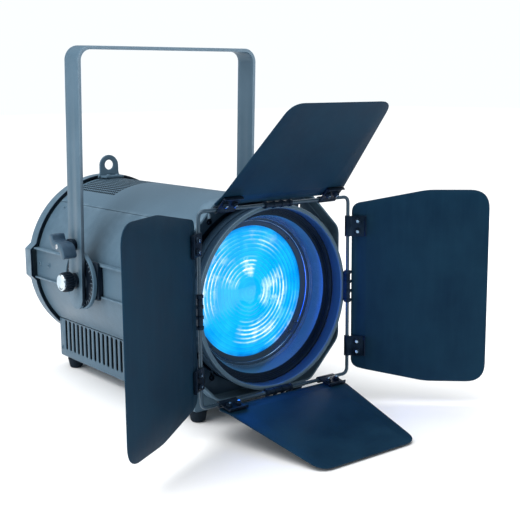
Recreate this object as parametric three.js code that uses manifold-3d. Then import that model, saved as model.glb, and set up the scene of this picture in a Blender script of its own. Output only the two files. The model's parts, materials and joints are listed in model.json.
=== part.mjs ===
// Fresnel spotlight with barn doors: millimetres, +Z up, the beam leaves towards -Y.
import * as THREE from "three";
import { mergeVertices } from "three/addons/utils/BufferGeometryUtils.js";
import Module from "manifold-3d";

const wasm = await Module();
wasm.setup();

// ---- driving dimensions: x and z from the beam axis, y back from the wire frame ----
const barrelR = 128;
const sheet = 1.6;
const bodyFront = 47;
const bodyRear = 427;
const seamAngle = 41;
const sillAngle = 131.5;
const bezelHalf = 130;
const bezelChamfer = 52;
const bezelLip = 25;
const bezelFloor = 44;
const noseR = 120;
const lensR = 100.4;
const boxHalf = 95;
const boxFloor = -148;
const boxTop = -86.5;
const boxFront = 55;
const slotPitch = 12.85;
const slotCount = 26;
const footFloor = -164;
const railOut = 137;
const railZ = 5.5;
const pivotY = 264.5;
const pivotZ = 3;
const yokeHalf = 150;
const yokeT = 5;
const yokeWidth = 38;
const yokeTop = 326;
const yokeLean = 2.3;
const wireSide = 245;
const wireR = 2.4;
const clipAt = 83;
const leafAngle = { top: 44, bottom: 77.5, left: 30.3, right: 43 };
const shift = new THREE.Vector3(12.345, -138.829, 164);

// ---- geometry helpers ----
const rad = THREE.MathUtils.degToRad;
const v2 = (x, y) => new THREE.Vector2(x, y);

function toSolid(geometry) {
  let g = geometry.clone();
  g.deleteAttribute("normal");
  g.deleteAttribute("uv");
  g = mergeVertices(g, 1e-4);
  const pos = g.attributes.position.array;
  const idx = Uint32Array.from(g.index.array);
  let volume = 0;
  for (let i = 0; i < idx.length; i += 3) {
    const a = new THREE.Vector3().fromArray(pos, idx[i] * 3);
    const b = new THREE.Vector3().fromArray(pos, idx[i + 1] * 3);
    const c = new THREE.Vector3().fromArray(pos, idx[i + 2] * 3);
    volume += a.dot(b.cross(c));
  }
  if (volume < 0) {
    for (let i = 0; i < idx.length; i += 3) {
      [idx[i], idx[i + 1]] = [idx[i + 1], idx[i]];
    }
  }
  const mesh = new wasm.Mesh({ numProp: 3, vertProperties: Float32Array.from(pos), triVerts: idx });
  return new wasm.Manifold(mesh);
}

function join(list) {
  return list.reduce((a, b) => a.add(b));
}

function cut(body, list) {
  return list.reduce((a, b) => a.subtract(b), body);
}

function moved(geometry, x, y, z) {
  return geometry.clone().translate(x, y, z);
}

function box(x0, x1, y0, y1, z0, z1) {
  const g = new THREE.BoxGeometry(x1 - x0, y1 - y0, z1 - z0);
  return toSolid(g.translate((x0 + x1) / 2, (y0 + y1) / 2, (z0 + z1) / 2));
}

function outline(points) {
  return new THREE.Shape(points.map(([a, b]) => v2(a, b)));
}

function extruded(shape, depth, curveSegments = 8) {
  return new THREE.ExtrudeGeometry(shape, { depth, bevelEnabled: false, curveSegments });
}

// a profile in (x, z) drawn out along Y
function alongY(shape, y0, y1, curve = 4) {
  const swap = new THREE.Matrix4().set(1, 0, 0, 0, 0, 0, 1, y0, 0, 1, 0, 0, 0, 0, 0, 1);
  return toSolid(extruded(shape, y1 - y0, curve).applyMatrix4(swap));
}

// a profile in (y, z) drawn out along X
function alongX(shape, x0, x1, curve = 4) {
  const turn = new THREE.Matrix4().set(0, 0, 1, x0, 1, 0, 0, 0, 0, 1, 0, 0, 0, 0, 0, 1);
  return toSolid(extruded(shape, x1 - x0, curve).applyMatrix4(turn));
}

function alongZ(shape, z0, z1) {
  return toSolid(extruded(shape, z1 - z0).translate(0, 0, z0));
}

// a closed profile of (radius, y) points turned about the beam axis
function turned(points, segments = 56) {
  const list = points.map(([r, y]) => v2(r, y));
  list.push(list[0].clone());
  return new THREE.LatheGeometry(list, segments);
}

function turnedY(points, segments) {
  return toSolid(turned(points, segments));
}

function rodY(r, x, z, y0, y1, segments = 16) {
  const g = new THREE.CylinderGeometry(r, r, y1 - y0, segments);
  return toSolid(g.translate(x, (y0 + y1) / 2, z));
}

function rodX(r, y, z, x0, x1, segments = 16) {
  const g = new THREE.CylinderGeometry(r, r, x1 - x0, segments).rotateZ(Math.PI / 2);
  return toSolid(g.translate((x0 + x1) / 2, y, z));
}

function rodZ(r, x, y, z0, z1, segments = 16) {
  const g = new THREE.CylinderGeometry(r, r, z1 - z0, segments).rotateX(Math.PI / 2);
  return toSolid(g.translate(x, y, (z0 + z1) / 2));
}

function rounded(w, h, r, cx = 0, cy = 0) {
  const s = new THREE.Shape();
  const x = cx - w / 2;
  const y = cy - h / 2;
  s.moveTo(x + r, y);
  s.lineTo(x + w - r, y);
  s.absarc(x + w - r, y + r, r, -Math.PI / 2, 0, false);
  s.lineTo(x + w, y + h - r);
  s.absarc(x + w - r, y + h - r, r, 0, Math.PI / 2, false);
  s.lineTo(x + r, y + h);
  s.absarc(x + r, y + h - r, r, Math.PI / 2, Math.PI, false);
  s.lineTo(x, y + r);
  s.absarc(x + r, y + r, r, Math.PI, Math.PI * 1.5, false);
  return s;
}

// a sector of a round skin, angles in degrees from straight up, positive towards +X
function skin(r, t, from, to, y0, y1) {
  const pts = [];
  const steps = Math.max(2, Math.round(Math.abs(to - from) / 4));
  for (let i = 0; i <= steps; i++) {
    const a = rad(from + ((to - from) * i) / steps);
    pts.push([r * Math.sin(a), r * Math.cos(a)]);
  }
  for (let i = steps; i >= 0; i--) {
    const a = rad(from + ((to - from) * i) / steps);
    pts.push([(r - t) * Math.sin(a), (r - t) * Math.cos(a)]);
  }
  return alongY(outline(pts), y0, y1);
}

function octagon(half, chamfer) {
  const c = half - chamfer;
  return outline([
    [half, -c], [half, c], [c, half], [-c, half],
    [-half, c], [-half, -c], [-c, -half], [c, -half],
  ]);
}

const group = new THREE.Group();
const looks = {
  paint: [0x687d91, 0.48, 0.55],
  black: [0x14181d, 0.5, 0.3],
  leaf: [0x1b3346, 0.55, 0.5],
  rubber: [0x16181b, 0.85, 0],
  zinc: [0xb4bac2, 0.35, 0.9],
  glass: [0x9fdcff, 0.08, 0],
  board: [0x17563a, 0.6, 0.1],
  led: [0xf1d774, 0.4, 0.1],
  fins: [0xa3a9b0, 0.4, 0.85],
};

function add(name, solid, look, angle = 0) {
  const m = solid.getMesh();
  const g = new THREE.BufferGeometry();
  const flat = new Float32Array(m.numVert * 3);
  for (let i = 0; i < m.numVert; i++) {
    for (let k = 0; k < 3; k++) {
      flat[i * 3 + k] = m.vertProperties[i * m.numProp + k];
    }
  }
  g.setAttribute("position", new THREE.BufferAttribute(flat, 3));
  g.setIndex(new THREE.BufferAttribute(Uint32Array.from(m.triVerts), 1));
  if (angle) {
    g.translate(0, -pivotY, -pivotZ).rotateX(rad(angle)).translate(0, pivotY, pivotZ);
  }
  g.translate(shift.x, shift.y, shift.z);
  const [color, roughness, metalness] = looks[look];
  const plain = g.toNonIndexed();
  plain.computeVertexNormals();
  const mesh = new THREE.Mesh(plain, new THREE.MeshStandardMaterial({ color, roughness, metalness }));
  mesh.name = name;
  group.add(mesh);
}

// ---- housing: round barrel in three skins ----
const ventSlots = [];
for (let row = 0; row < 3; row++) {
  for (let k = -6; k <= 6; k++) {
    const slot = new THREE.BoxGeometry(3.4, 28, 12).translate(0, 326 + row * 33, barrelR);
    ventSlots.push(toSolid(slot.rotateY(rad(k * 4.4))));
  }
}
add("top_shell", cut(skin(barrelR, sheet, -seamAngle, seamAngle, bodyFront, bodyRear), ventSlots), "paint");
for (const [side, s] of [["left", -1], ["right", 1]]) {
  const lower = skin(barrelR, sheet, s * (seamAngle + 0.4), s * sillAngle, bodyFront, bodyRear);
  add(`side_shell_${side}`, lower, "paint");
}

// ---- slide rails: open channels along both sides ----
for (const [side, s] of [["left", -1], ["right", 1]]) {
  const section = [
    [barrelR + 0.4, -26.5], [railOut, -26.5], [railOut, -20.5], [railOut - 2, -20.5],
    [railOut - 2, -23.5], [barrelR + 2.4, -23.5], [barrelR + 2.4, 23.5], [railOut - 2, 23.5],
    [railOut - 2, 20.5], [railOut, 20.5], [railOut, 26.5], [barrelR + 0.4, 26.5],
  ];
  const rail = alongY(outline(section.map(([x, z]) => [s * x, railZ + z])), 62, bodyRear);
  add(`slide_rail_${side}`, rail, "paint");
}

// ---- base box under the barrel ----
const slots = [];
for (let i = 0; i < slotCount; i++) {
  const mouth = rounded(5, 46.5, 2.4, 407 - i * slotPitch, -111.7);
  slots.push(alongX(mouth, -boxHalf - 3, boxHalf + 3, 1));
}
const tub = cut(box(-boxHalf, boxHalf, boxFront, bodyRear, boxFloor, boxTop), [
  box(-boxHalf + sheet, boxHalf - sheet, boxFront + sheet, bodyRear - sheet, boxFloor + sheet, 0),
  rodY(117, 0, 0, boxFront - 2, boxFront + 5, 56),
  ...slots,
]);
add("base_box", tub, "paint");
for (const [side, x] of [["left", -82], ["right", 82]]) {
  for (const [end, y] of [["front", 67], ["rear", 403]]) {
    const g = new THREE.CylinderGeometry(12.5, 9.5, 15.7, 28).rotateX(Math.PI / 2);
    add(`foot_${end}_${side}`, toSolid(g.translate(x, y, footFloor + 7.85)), "rubber");
  }
}

// ---- octagonal front bezel: a shallow tray with the nose coming through its floor ----
const tray = cut(alongY(octagon(bezelHalf, bezelChamfer), bezelLip, bezelFloor + 2.5), [
  alongY(octagon(bezelHalf - 3, bezelChamfer - 1.3), bezelLip - 1, bezelFloor),
  rodY(noseR + 1, 0, 0, bezelFloor - 1, bezelFloor + 4, 56),
]);
const corners = [[-76, 102], [76, 102], [-76, -102], [76, -102]];
add("front_bezel", cut(tray, corners.map(([x, z]) => rodY(2.4, x, z, 40, 50, 16))), "paint");

// ---- nose: holder ring, stepped baffle, retainer, lens ----
add("holder_ring", turnedY([[116.4, 23], [noseR, 23], [noseR, 35.5], [116.4, 35.5]]), "paint");
add("nose_baffle", turnedY([
  [113.6, 23.2], [116, 23.2], [116, 46.9], [124, 46.9], [124, 49], [116, 49], [116, 67.2],
  [125.6, 67.2], [125.6, 69.4], [96, 69.4], [96, 67.3], [100.9, 67.3], [100.9, 52.6],
  [98.8, 52.6], [99.4, 48], [105, 29], [112.6, 25],
]), "black");
add("lens_retainer", turnedY([
  [96.6, 53], [100.5, 53], [100.5, 60.4], [88.6, 60.4], [88.6, 58.9], [94.6, 57], [96.2, 55],
]), "black");
const lensFace = [[0, 67], [lensR, 67], [lensR, 60.8], [88, 60.8]];
const ringCount = 5;
for (let i = ringCount; i >= 1; i--) {
  const outer = 24 + (i * 63) / ringCount;
  const inner = 24 + ((i - 1) * 63) / ringCount;
  lensFace.push([outer, 61.4]);
  lensFace.push([inner + 0.6, 59.2]);
}
lensFace.push([24, 61.4], [18, 58.6], [10, 57], [0, 56.4]);
add("fresnel_lens", turnedY(lensFace.reverse(), 48), "glass");

// ---- rear cap, service panel and what sits on it ----
const capShell = join([
  turnedY([[130.4, 428], [133.4, 428], [133.4, 449], [112, 449], [112, 446], [130.4, 446]]),
  cut(box(-139, 139, 428, 449, railZ - 28.5, railZ + 28.5), [box(-131, 131, 420, 455, -60, 60)]),
]);
const capInside = box(-137.6, 137.6, 420, 446, railZ - 27, railZ + 27);
add("rear_cap", cut(capShell, [capInside]), "paint");
const panelHoles = [];
for (const x of [-24, -8, 8, 24]) {
  panelHoles.push(rodY(2.4, x, 26, 430, 450, 16));
}
for (const x of [-42, 42]) {
  panelHoles.push(rodY(11, x, -14, 430, 450, 20));
  panelHoles.push(rodY(12, x, -56, 430, 450, 20));
}
for (let k = -4; k <= 4; k++) {
  panelHoles.push(alongY(rounded(4, 20, 1.9, k * 9, -92), 430, 450, 1));
}
add("rear_panel", cut(rodY(118, 0, 0, 443.4, 445.6, 56), panelHoles), "black");
const window = cut(box(-32, 32, 445.9, 449, 40, 72), [box(-26, 26, 448, 451, 45, 67)]);
add("display", window, "black");
function socketPair(z, height, r, bore, face) {
  const barrels = [-42, 42].map((x) => rodY(r, x, z, 425, 447, 20));
  const bores = [-42, 42].map((x) => rodY(bore, x, z, 433, 452, 20));
  return cut(join([alongY(rounded(118, height, 4, 0, z), 445.9, face), ...barrels]), bores);
}
add("power_sockets", socketPair(-56, 33, 11.7, 9.4, 449.2), "black");
add("data_sockets", socketPair(-14, 30, 10.7, 8.6, 448.6), "zinc");
[-24, -8, 8, 24].forEach((x, i) => {
  const cap = join([rodY(5.2, x, 26, 447.4, 451.6, 24), rodY(1.9, x, 26, 439, 448, 16)]);
  add(`menu_button_${i + 1}`, cap, "rubber");
});
const board = join([
  box(-60, 60, 419, 420.6, -40, 74),
  box(-22, 18, 414, 419.5, 30, 62),
  box(-50, -30, 412, 419.5, -30, 0),
  box(28, 50, 413, 419.5, -20, 12),
]);
add("control_board", board, "board");

// ---- safety eye ----
const eye = new THREE.Shape();
eye.moveTo(-16.5, 128.7);
eye.lineTo(16.5, 128.7);
eye.lineTo(16.5, 147.5);
eye.absarc(0, 147.5, 16.5, 0, Math.PI, false);
eye.lineTo(-16.5, 128.7);
const lug = join([alongY(eye, 421.6, 425.2), box(-16.5, 16.5, 404, 423, 128.7, 132.2)]);
add("safety_eye", cut(lug, [rodY(7.8, 0, 148.5, 415, 430, 32)]), "paint");

// ---- zoom drive: bulkheads, rods, screw, motor ----
const rodAt = [[-108, 0], [108, 0]];
const screwZ = 95;
const rearPlate = cut(rodY(125.6, 0, 0, 345, 347, 56), [
  rodY(12, 0, screwZ, 340, 350, 24),
  box(-45, 45, 340, 350, -60, 60),
  box(-130, 130, 340, 350, -130, -84),
]);
add("rear_bulkhead", rearPlate, "zinc");
add("guide_rod_left", rodY(4, -108, 0, 69.9, 344.7), "zinc");
add("guide_rod_right", rodY(4, 108, 0, 69.9, 344.7), "zinc");
add("lead_screw", rodY(4, 0, screwZ, 76, 346.8), "zinc");
const motor = join([alongY(rounded(42, 42, 4, 0, screwZ), 347.3, 385), rodY(11, 0, screwZ, 384, 387)]);
add("zoom_motor", motor, "black");
const supply = join([
  box(-70, 70, 118, 330, boxFloor + sheet + 0.4, -104),
  box(-70, 70, 112, 119, boxFloor + sheet + 0.4, -124),
]);
add("power_supply", supply, "zinc");

// ---- zoom carriage: plate, lamp, reflector, heat sink, fan ----
const slabParts = cut(rodY(118, 0, 0, 171, 174.6, 60), [
  rodY(4.35, -108, 0, 165, 180),
  rodY(4.35, 108, 0, 165, 180),
  rodY(4.35, 0, screwZ, 165, 180),
  rodY(32, 0, 0, 165, 180, 40),
  box(-130, 130, 165, 180, -130, -78),
]);
const bushes = [...rodAt, [0, screwZ]].map(([x, z]) => cut(
  rodY(8.5, x, z, 156, 172),
  [rodY(4.35, x, z, 150, 180)],
));
add("carriage_plate", join([slabParts, ...bushes]), "zinc");
add("led_module", join([box(-20, 20, 172, 174.7, -20, 20), rodY(13, 0, 0, 170.6, 172.5, 32)]), "led");
add("led_reflector", turnedY([
  [18, 170.2], [38, 170.2], [38, 168], [24, 168], [42, 134], [40, 134], [19, 166],
], 48), "zinc");
const comb = [[-65, 175], [65, 175]];
const finCount = 11;
for (let i = finCount - 1; i >= 0; i--) {
  const x = -63.5 + (i * 127) / (finCount - 1);
  comb.push([x + 1.5, 243], [x - 1.5, 243]);
  if (i > 0) {
    comb.push([x - 1.5, 183], [x - 127 / (finCount - 1) + 1.5, 183]);
  }
}
add("heat_sink", alongZ(outline(comb), -65, 65), "fins");
const frame = cut(box(-46, 46, 243.4, 268.4, -46, 46), [rodY(43.5, 0, 0, 240, 266.4, 40)]);
const spokes = [
  cut(rodY(44, 0, 0, 266.4, 268.4, 40), [rodY(20, 0, 0, 260, 270, 32)]),
];
const windows = [];
for (let k = 0; k < 4; k++) {
  const arc = [];
  for (let j = 0; j <= 8; j++) {
    const a = rad(k * 90 + 6 + (j * 78) / 8);
    arc.push([42 * Math.cos(a), 42 * Math.sin(a)]);
  }
  for (let j = 8; j >= 0; j--) {
    const a = rad(k * 90 + 10 + (j * 70) / 8);
    arc.push([21 * Math.cos(a), 21 * Math.sin(a)]);
  }
  windows.push(alongY(outline(arc), 260, 272));
}
add("fan_frame", cut(join([frame, ...spokes]), windows), "black");
const blades = [rodY(18, 0, 0, 247, 265.8, 32)];
for (let k = 0; k < 7; k++) {
  const g = new THREE.BoxGeometry(25, 1.6, 17);
  g.rotateX(rad(38)).translate(29, 256, 0).rotateY(rad((k * 360) / 7));
  blades.push(toSolid(g));
}
add("fan_rotor", join(blades), "black");

// ---- barn-door ring and square wire frame ----
const half = wireSide / 2;
const bend = 9;
const wireParts = [];
const flat = half - bend;
wireParts.push(rodX(wireR, 0, half, -flat, flat, 16), rodX(wireR, 0, -half, -flat, flat, 16));
wireParts.push(rodZ(wireR, -half, 0, -flat, flat, 16), rodZ(wireR, half, 0, -flat, flat, 16));
for (const [sx, sz] of [[1, 1], [-1, 1], [-1, -1], [1, -1]]) {
  const ring = new THREE.TorusGeometry(bend, wireR, 16, 24).rotateX(Math.PI / 2);
  const whole = toSolid(ring.translate(sx * flat, 0, sz * flat));
  const corner = box(
    Math.min(sx * flat, sx * (half + 5)), Math.max(sx * flat, sx * (half + 5)), -5, 5,
    Math.min(sz * flat, sz * (half + 5)), Math.max(sz * flat, sz * (half + 5)),
  );
  wireParts.push(whole.intersect(corner));
}
add("wire_frame", join(wireParts), "paint");
const band = turnedY([
  [116.3, 4.3], [121.6, 4.3], [121.6, 9], [118.4, 9], [118.4, 22.6], [115.9, 22.6],
]);
const tabs = [];
const bores = [];
for (const s of [-1, 1]) {
  tabs.push(rodZ(3.9, s * half, 0, -22, 22));
  tabs.push(box(s * half - 3, s * half + 3, 1, 6.5, -20, 20));
  tabs.push(rodX(3.9, 0, s * half, -22, 22));
  tabs.push(box(-20, 20, 1, 6.5, s * half - 3, s * half + 3));
  bores.push(rodZ(2.7, s * half, 0, -40, 40), rodX(2.7, 0, s * half, -40, 40));
}
add("barn_ring", cut(join([band, ...tabs]), bores), "paint");

// ---- leaves: x runs out from the hinge, y along it, z towards the light's front ----
const sides = {
  top: { out: [0, 0, 1], along: [-1, 0, 0] },
  bottom: { out: [0, 0, -1], along: [1, 0, 0] },
  left: { out: [-1, 0, 0], along: [0, 0, -1] },
  right: { out: [1, 0, 0], along: [0, 0, 1] },
};

function placed(solid, name) {
  const { out, along: across } = sides[name];
  const a = rad(leafAngle[name]);
  const o = new THREE.Vector3(...out);
  const r = o.clone().multiplyScalar(Math.cos(a)).add(new THREE.Vector3(0, -Math.sin(a), 0));
  const n = o.clone().multiplyScalar(-Math.sin(a)).add(new THREE.Vector3(0, -Math.cos(a), 0));
  const w = new THREE.Vector3(...across);
  const m = new THREE.Matrix4().makeBasis(r, w, n).setPosition(o.multiplyScalar(half));
  return solid.transform(m.elements.slice());
}

function roundedOutline(points) {
  const s = new THREE.Shape();
  points.forEach(([x, y, r], i) => {
    const p = v2(x, y);
    const prev = v2(...points[(i + points.length - 1) % points.length].slice(0, 2));
    const next = v2(...points[(i + 1) % points.length].slice(0, 2));
    const from = prev.sub(p).normalize().multiplyScalar(r).add(p);
    const to = next.sub(p).normalize().multiplyScalar(r).add(p);
    if (i === 0) {
      s.moveTo(from.x, from.y);
    } else {
      s.lineTo(from.x, from.y);
    }
    s.quadraticCurveTo(p.x, p.y, to.x, to.y);
  });
  return s;
}

const leafShape = {
  wide: roundedOutline([
    [5.2, -113, 8], [106, -132, 6], [188, -132, 24], [188, 132, 24], [106, 132, 6], [5.2, 113, 8],
  ]),
  narrow: roundedOutline([[5.2, -102, 5], [178, -78, 16], [178, 78, 16], [5.2, 102, 5]]),
};

for (const name of ["top", "bottom", "left", "right"]) {
  const shape = name === "left" || name === "right" ? leafShape.wide : leafShape.narrow;
  add(`leaf_${name}`, placed(alongZ(shape, -0.75, 0.75), name), "leaf");
  for (const [mark, v] of [["a", -clipAt], ["b", clipAt]]) {
    const sleeve = join([
      rodY(4.3, 0, 0, v - 14, v + 14),
      box(0, 25, v - 14, v + 14, 1.1, 3),
      box(23.4, 25, v - 14, v + 14, 1.1, 6.4),
    ]);
    const bolts = [-7, 7].map((d) => join([
      rodZ(4.1, 13, v + d, 2.9, 6.2, 6),
      rodZ(2.2, 13, v + d, 5, 8.4, 8),
    ]));
    const clip = cut(join([sleeve, ...bolts]), [rodY(2.75, 0, 0, v - 20, v + 20)]);
    add(`clip_${name}_${mark}`, placed(clip, name), "black");
  }
}

// ---- yoke: flat bar bent to a U, leaning a little forward ----
const bar = new THREE.Shape();
const legEnd = -19;
bar.moveTo(-yokeHalf, legEnd);
bar.lineTo(-yokeHalf, yokeTop - 20);
bar.absarc(-yokeHalf + 20, yokeTop - 20, 20, Math.PI, Math.PI / 2, true);
bar.lineTo(yokeHalf - 20, yokeTop);
bar.absarc(yokeHalf - 20, yokeTop - 20, 20, Math.PI / 2, 0, true);
bar.lineTo(yokeHalf, legEnd);
bar.lineTo(yokeHalf - yokeT, legEnd);
bar.lineTo(yokeHalf - yokeT, yokeTop - 20);
bar.absarc(yokeHalf - 20, yokeTop - 20, 20 - yokeT, 0, Math.PI / 2, false);
bar.lineTo(-yokeHalf + 20, yokeTop - yokeT);
bar.absarc(-yokeHalf + 20, yokeTop - 20, 20 - yokeT, Math.PI / 2, Math.PI, false);
bar.lineTo(-yokeHalf + yokeT, legEnd);
const y0 = pivotY - yokeWidth / 2;
const y1 = pivotY + yokeWidth / 2;
const leverZ = 54.5;
const ends = [-1, 1].map((s) => rodX(
  yokeWidth / 2, pivotY, legEnd,
  s < 0 ? -yokeHalf : yokeHalf - yokeT, s < 0 ? -yokeHalf + yokeT : yokeHalf, 40,
));
const yoke = cut(join([alongY(bar, y0, y1, 8), ...ends]), [
  rodX(6.4, pivotY, pivotZ, -160, 160),
  rodX(4.4, pivotY, leverZ, -160, -130),
  rodZ(6.5, 0, pivotY, 300, 340),
  rodZ(5.5, -50, pivotY, 300, 340),
  rodZ(5.5, 50, pivotY, 300, 340),
]);
add("yoke", yoke, "paint", yokeLean);

// ---- slide blocks with their studs, friction discs, knobs ----
for (const [side, s] of [["left", -1], ["right", 1]]) {
  const span = (a, b) => (s < 0 ? [-b, -a] : [a, b]);
  const [a0, a1] = span(barrelR + 2.8, railOut - 2.4);
  const [b0, b1] = span(railOut - 3, railOut + 1);
  const block = join([
    box(a0, a1, 200, 330, railZ - 23.1, railZ + 23.1),
    box(b0, b1, 200, 330, railZ - 20.1, railZ + 20.1),
    rodX(6, pivotY, pivotZ, ...span(railOut - 1, 163)),
  ]);
  add(`slide_block_${side}`, block, "black");
  const disc = cut(rodX(44, pivotY, pivotZ, ...span(railOut + 1.4, 144.6), 60), [
    rodX(6.4, pivotY, pivotZ, ...span(120, 170)),
  ]);
  add(`friction_disc_${side}`, disc, "paint");
  const knurl = [];
  for (let k = 0; k < 48; k++) {
    const a = rad(k * 7.5);
    const r = k % 2 ? 14 : 12.9;
    knurl.push([pivotY + r * Math.cos(a), pivotZ + r * Math.sin(a)]);
  }
  const knob = cut(join([
    rodX(9.5, pivotY, pivotZ, ...span(yokeHalf + 0.4, 158), 28),
    alongX(outline(knurl), ...span(157, 171)),
    rodX(10, pivotY, pivotZ, ...span(170, 173.4), 28),
  ]), [rodX(6.4, pivotY, pivotZ, ...span(140, 165))]);
  add(`pivot_knob_${side}`, knob, "black");
}

// ---- S-shaped locking lever on the left arm ----
const spine = [];
for (let i = 0; i <= 14; i++) {
  const t = -1 + i / 7;
  spine.push(v2(23 * t, 7.5 * Math.sin(Math.PI * t)));
}
const edge = [];
for (const s of [1, -1]) {
  const order = s > 0 ? spine : [...spine].reverse();
  order.forEach((p, i) => {
    const a = order[Math.max(0, i - 1)];
    const b = order[Math.min(order.length - 1, i + 1)];
    const d = b.clone().sub(a).normalize();
    const thick = 5.2;
    edge.push([p.x - d.y * thick, p.y + d.x * thick]);
  });
}
const tilt = rad(23);
const grip = alongX(outline(edge.map(([y, z]) => [
  pivotY + y * Math.cos(tilt) - z * Math.sin(tilt),
  leverZ + y * Math.sin(tilt) + z * Math.cos(tilt),
])), -178, -155);
const lever = join([
  grip,
  rodX(8, pivotY, leverZ, -156, -150.4),
  rodX(4, pivotY, leverZ, -152, -141),
  rodX(6.4, pivotY, leverZ, -144.6, -141, 6),
]);
add("tilt_lever", lever, "black", yokeLean);

export default group;
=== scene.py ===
import json
from math import atan2, cos, hypot, pi, radians, sin
import bmesh
import bpy
from mathutils import Matrix, Vector
from mathutils.geometry import delaunay_2d_cdt


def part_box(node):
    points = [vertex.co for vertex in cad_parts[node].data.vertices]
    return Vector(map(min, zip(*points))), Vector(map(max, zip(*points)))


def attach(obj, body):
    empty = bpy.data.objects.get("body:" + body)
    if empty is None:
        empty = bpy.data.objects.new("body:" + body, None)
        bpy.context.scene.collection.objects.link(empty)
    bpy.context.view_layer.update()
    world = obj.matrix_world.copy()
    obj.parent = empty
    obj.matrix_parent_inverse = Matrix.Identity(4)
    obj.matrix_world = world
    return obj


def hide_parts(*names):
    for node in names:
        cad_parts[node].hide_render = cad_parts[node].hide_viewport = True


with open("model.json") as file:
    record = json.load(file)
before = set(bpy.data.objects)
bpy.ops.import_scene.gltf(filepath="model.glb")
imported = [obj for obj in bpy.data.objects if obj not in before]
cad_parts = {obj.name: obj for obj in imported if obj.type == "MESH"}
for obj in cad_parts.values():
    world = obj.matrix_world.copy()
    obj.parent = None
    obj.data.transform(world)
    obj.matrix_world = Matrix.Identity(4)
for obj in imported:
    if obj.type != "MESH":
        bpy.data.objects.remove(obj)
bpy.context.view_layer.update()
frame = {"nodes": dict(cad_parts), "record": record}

# sizes below are millimetres from the centre of the wire square, which lies on the beam axis;
# +Y runs back along the barrel, +X to the right seen from the front, +Z up
low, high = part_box("wire_frame")
beam = (low + high) / 2
leftRight = (("Left", -1), ("Right", 1))
coolGlint = (0.6, 0.82, 1, 1)


# shaders
class Value:
    # one output socket; sums and products of these add Math nodes
    def __init__(self, finish, socket):
        self.finish, self.socket = finish, socket

    def math(self, operation, first, second=0.0):
        return self.finish.node("ShaderNodeMath", {"operation": operation}, {0: first, 1: second})

    def __add__(self, other):
        return self.math("ADD", self, other)

    def __radd__(self, other):
        return self.math("ADD", other, self)

    def __sub__(self, other):
        return self.math("SUBTRACT", self, other)

    def __rsub__(self, other):
        return self.math("SUBTRACT", other, self)

    def __mul__(self, other):
        return self.math("MULTIPLY", self, other)

    def __rmul__(self, other):
        return self.math("MULTIPLY", other, self)

    def __truediv__(self, other):
        return self.math("DIVIDE", self, other)


class Finish:
    # a material under construction, around one Principled shader
    def __init__(self, name, fixed):
        self.material = bpy.data.materials.new(name)
        self.material.use_nodes = True
        self.tree = self.material.node_tree
        self.shader = self.tree.nodes["Principled BSDF"]
        for socket, value in fixed.items():
            self.shader.inputs[socket].default_value = value
        place = self.node("ShaderNodeTexCoord", out="Object")
        away = self.node("ShaderNodeVectorMath", {"operation": "SUBTRACT"}, {0: place, 1: tuple(beam)})
        self.place = self.node("ShaderNodeVectorMath", {"operation": "SCALE"}, {0: away, "Scale": 1000.0})

    def node(self, kind, settings=None, inputs=None, out=0):
        made = self.tree.nodes.new(kind)
        for key, value in (settings or {}).items():
            if key == "stops":
                ramp = made.color_ramp
                while len(ramp.elements) < len(value):
                    ramp.elements.new(1.0)
                for stop, (at, colour) in zip(ramp.elements, value):
                    stop.position = at
                    stop.color = colour if len(colour) == 4 else (*colour, 1)
            else:
                setattr(made, key, value)
        for key, value in (inputs or {}).items():
            if isinstance(value, Value):
                self.tree.links.new(value.socket, made.inputs[key])
            else:
                made.inputs[key].default_value = value
        return Value(self, made.outputs[out])

    def feed(self, socket, value):
        self.tree.links.new(value.socket, self.shader.inputs[socket])

    def noise(self, scale, detail=3.0, rough=0.5, where=None):
        # scale is in cycles for each millimetre
        return self.node("ShaderNodeTexNoise", {"noise_dimensions": "3D"},
                         {"Vector": where or self.place, "Scale": scale, "Detail": detail, "Roughness": rough})

    def stretched(self, factors):
        return self.node("ShaderNodeVectorMath", {"operation": "MULTIPLY"}, {0: self.place, 1: factors})

    def between(self, value, start, end, low=0.0, high=1.0):
        return self.node("ShaderNodeMapRange", {"clamp": True}, {0: value, 1: start, 2: end, 3: low, 4: high})

    def mix(self, share, first, second, blend="MIX"):
        def full(colour):
            return colour if isinstance(colour, Value) or len(colour) == 4 else (*colour, 1)
        return self.node("ShaderNodeMix", {"data_type": "RGBA", "blend_type": blend},
                         {0: share, 6: full(first), 7: full(second)}, out=2)

    def bump(self, height, distance, strength=1.0):
        self.feed("Normal", self.node("ShaderNodeBump", None,
                                      {"Height": height, "Distance": distance, "Strength": strength}))

    def edges(self, start=0.52, end=0.62):
        return self.between(self.node("ShaderNodeNewGeometry", out="Pointiness"), start, end)


def powderCoat(name, look):
    # sprayed powder: an orange-peel surface, soft blotches, pale edges that are partly wear and partly a painted
    # highlight
    f = Finish(name, {"Specular IOR Level": look.get("specular", 0.4),
                      "Specular Tint": look.get("tint", coolGlint)})
    blotch = f.noise(look.get("blotch", 0.012), 4.0)
    grain = f.noise(look.get("grain", 1.6), 2.0, 0.6)
    fleck = f.between(f.noise(look.get("grain", 1.6) * 1.7, 1.0), 0.62, 0.74)
    tone = f.mix(f.between(blotch, 0.3, 0.7), look["dark"], look["light"])
    tone = f.mix(fleck * look.get("fleck", 0.25), tone, look["shine"])
    # sharp edges turn pale: part wear, part painted highlight
    wearAndHighlight = f.edges() * f.between(f.noise(0.08, 5.0), 0.4, 0.6) * look.get("wearAndHighlightShare", 0.5)
    f.feed("Base Color", f.mix(wearAndHighlight, tone, look["shine"]))
    f.feed("Roughness", f.between(blotch, 0.3, 0.7, *look["rough"]) + (grain - 0.5) * 0.12)
    f.bump(grain * 0.8 + blotch * 0.6, look.get("peel", 0.00006))
    return f.material


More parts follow.
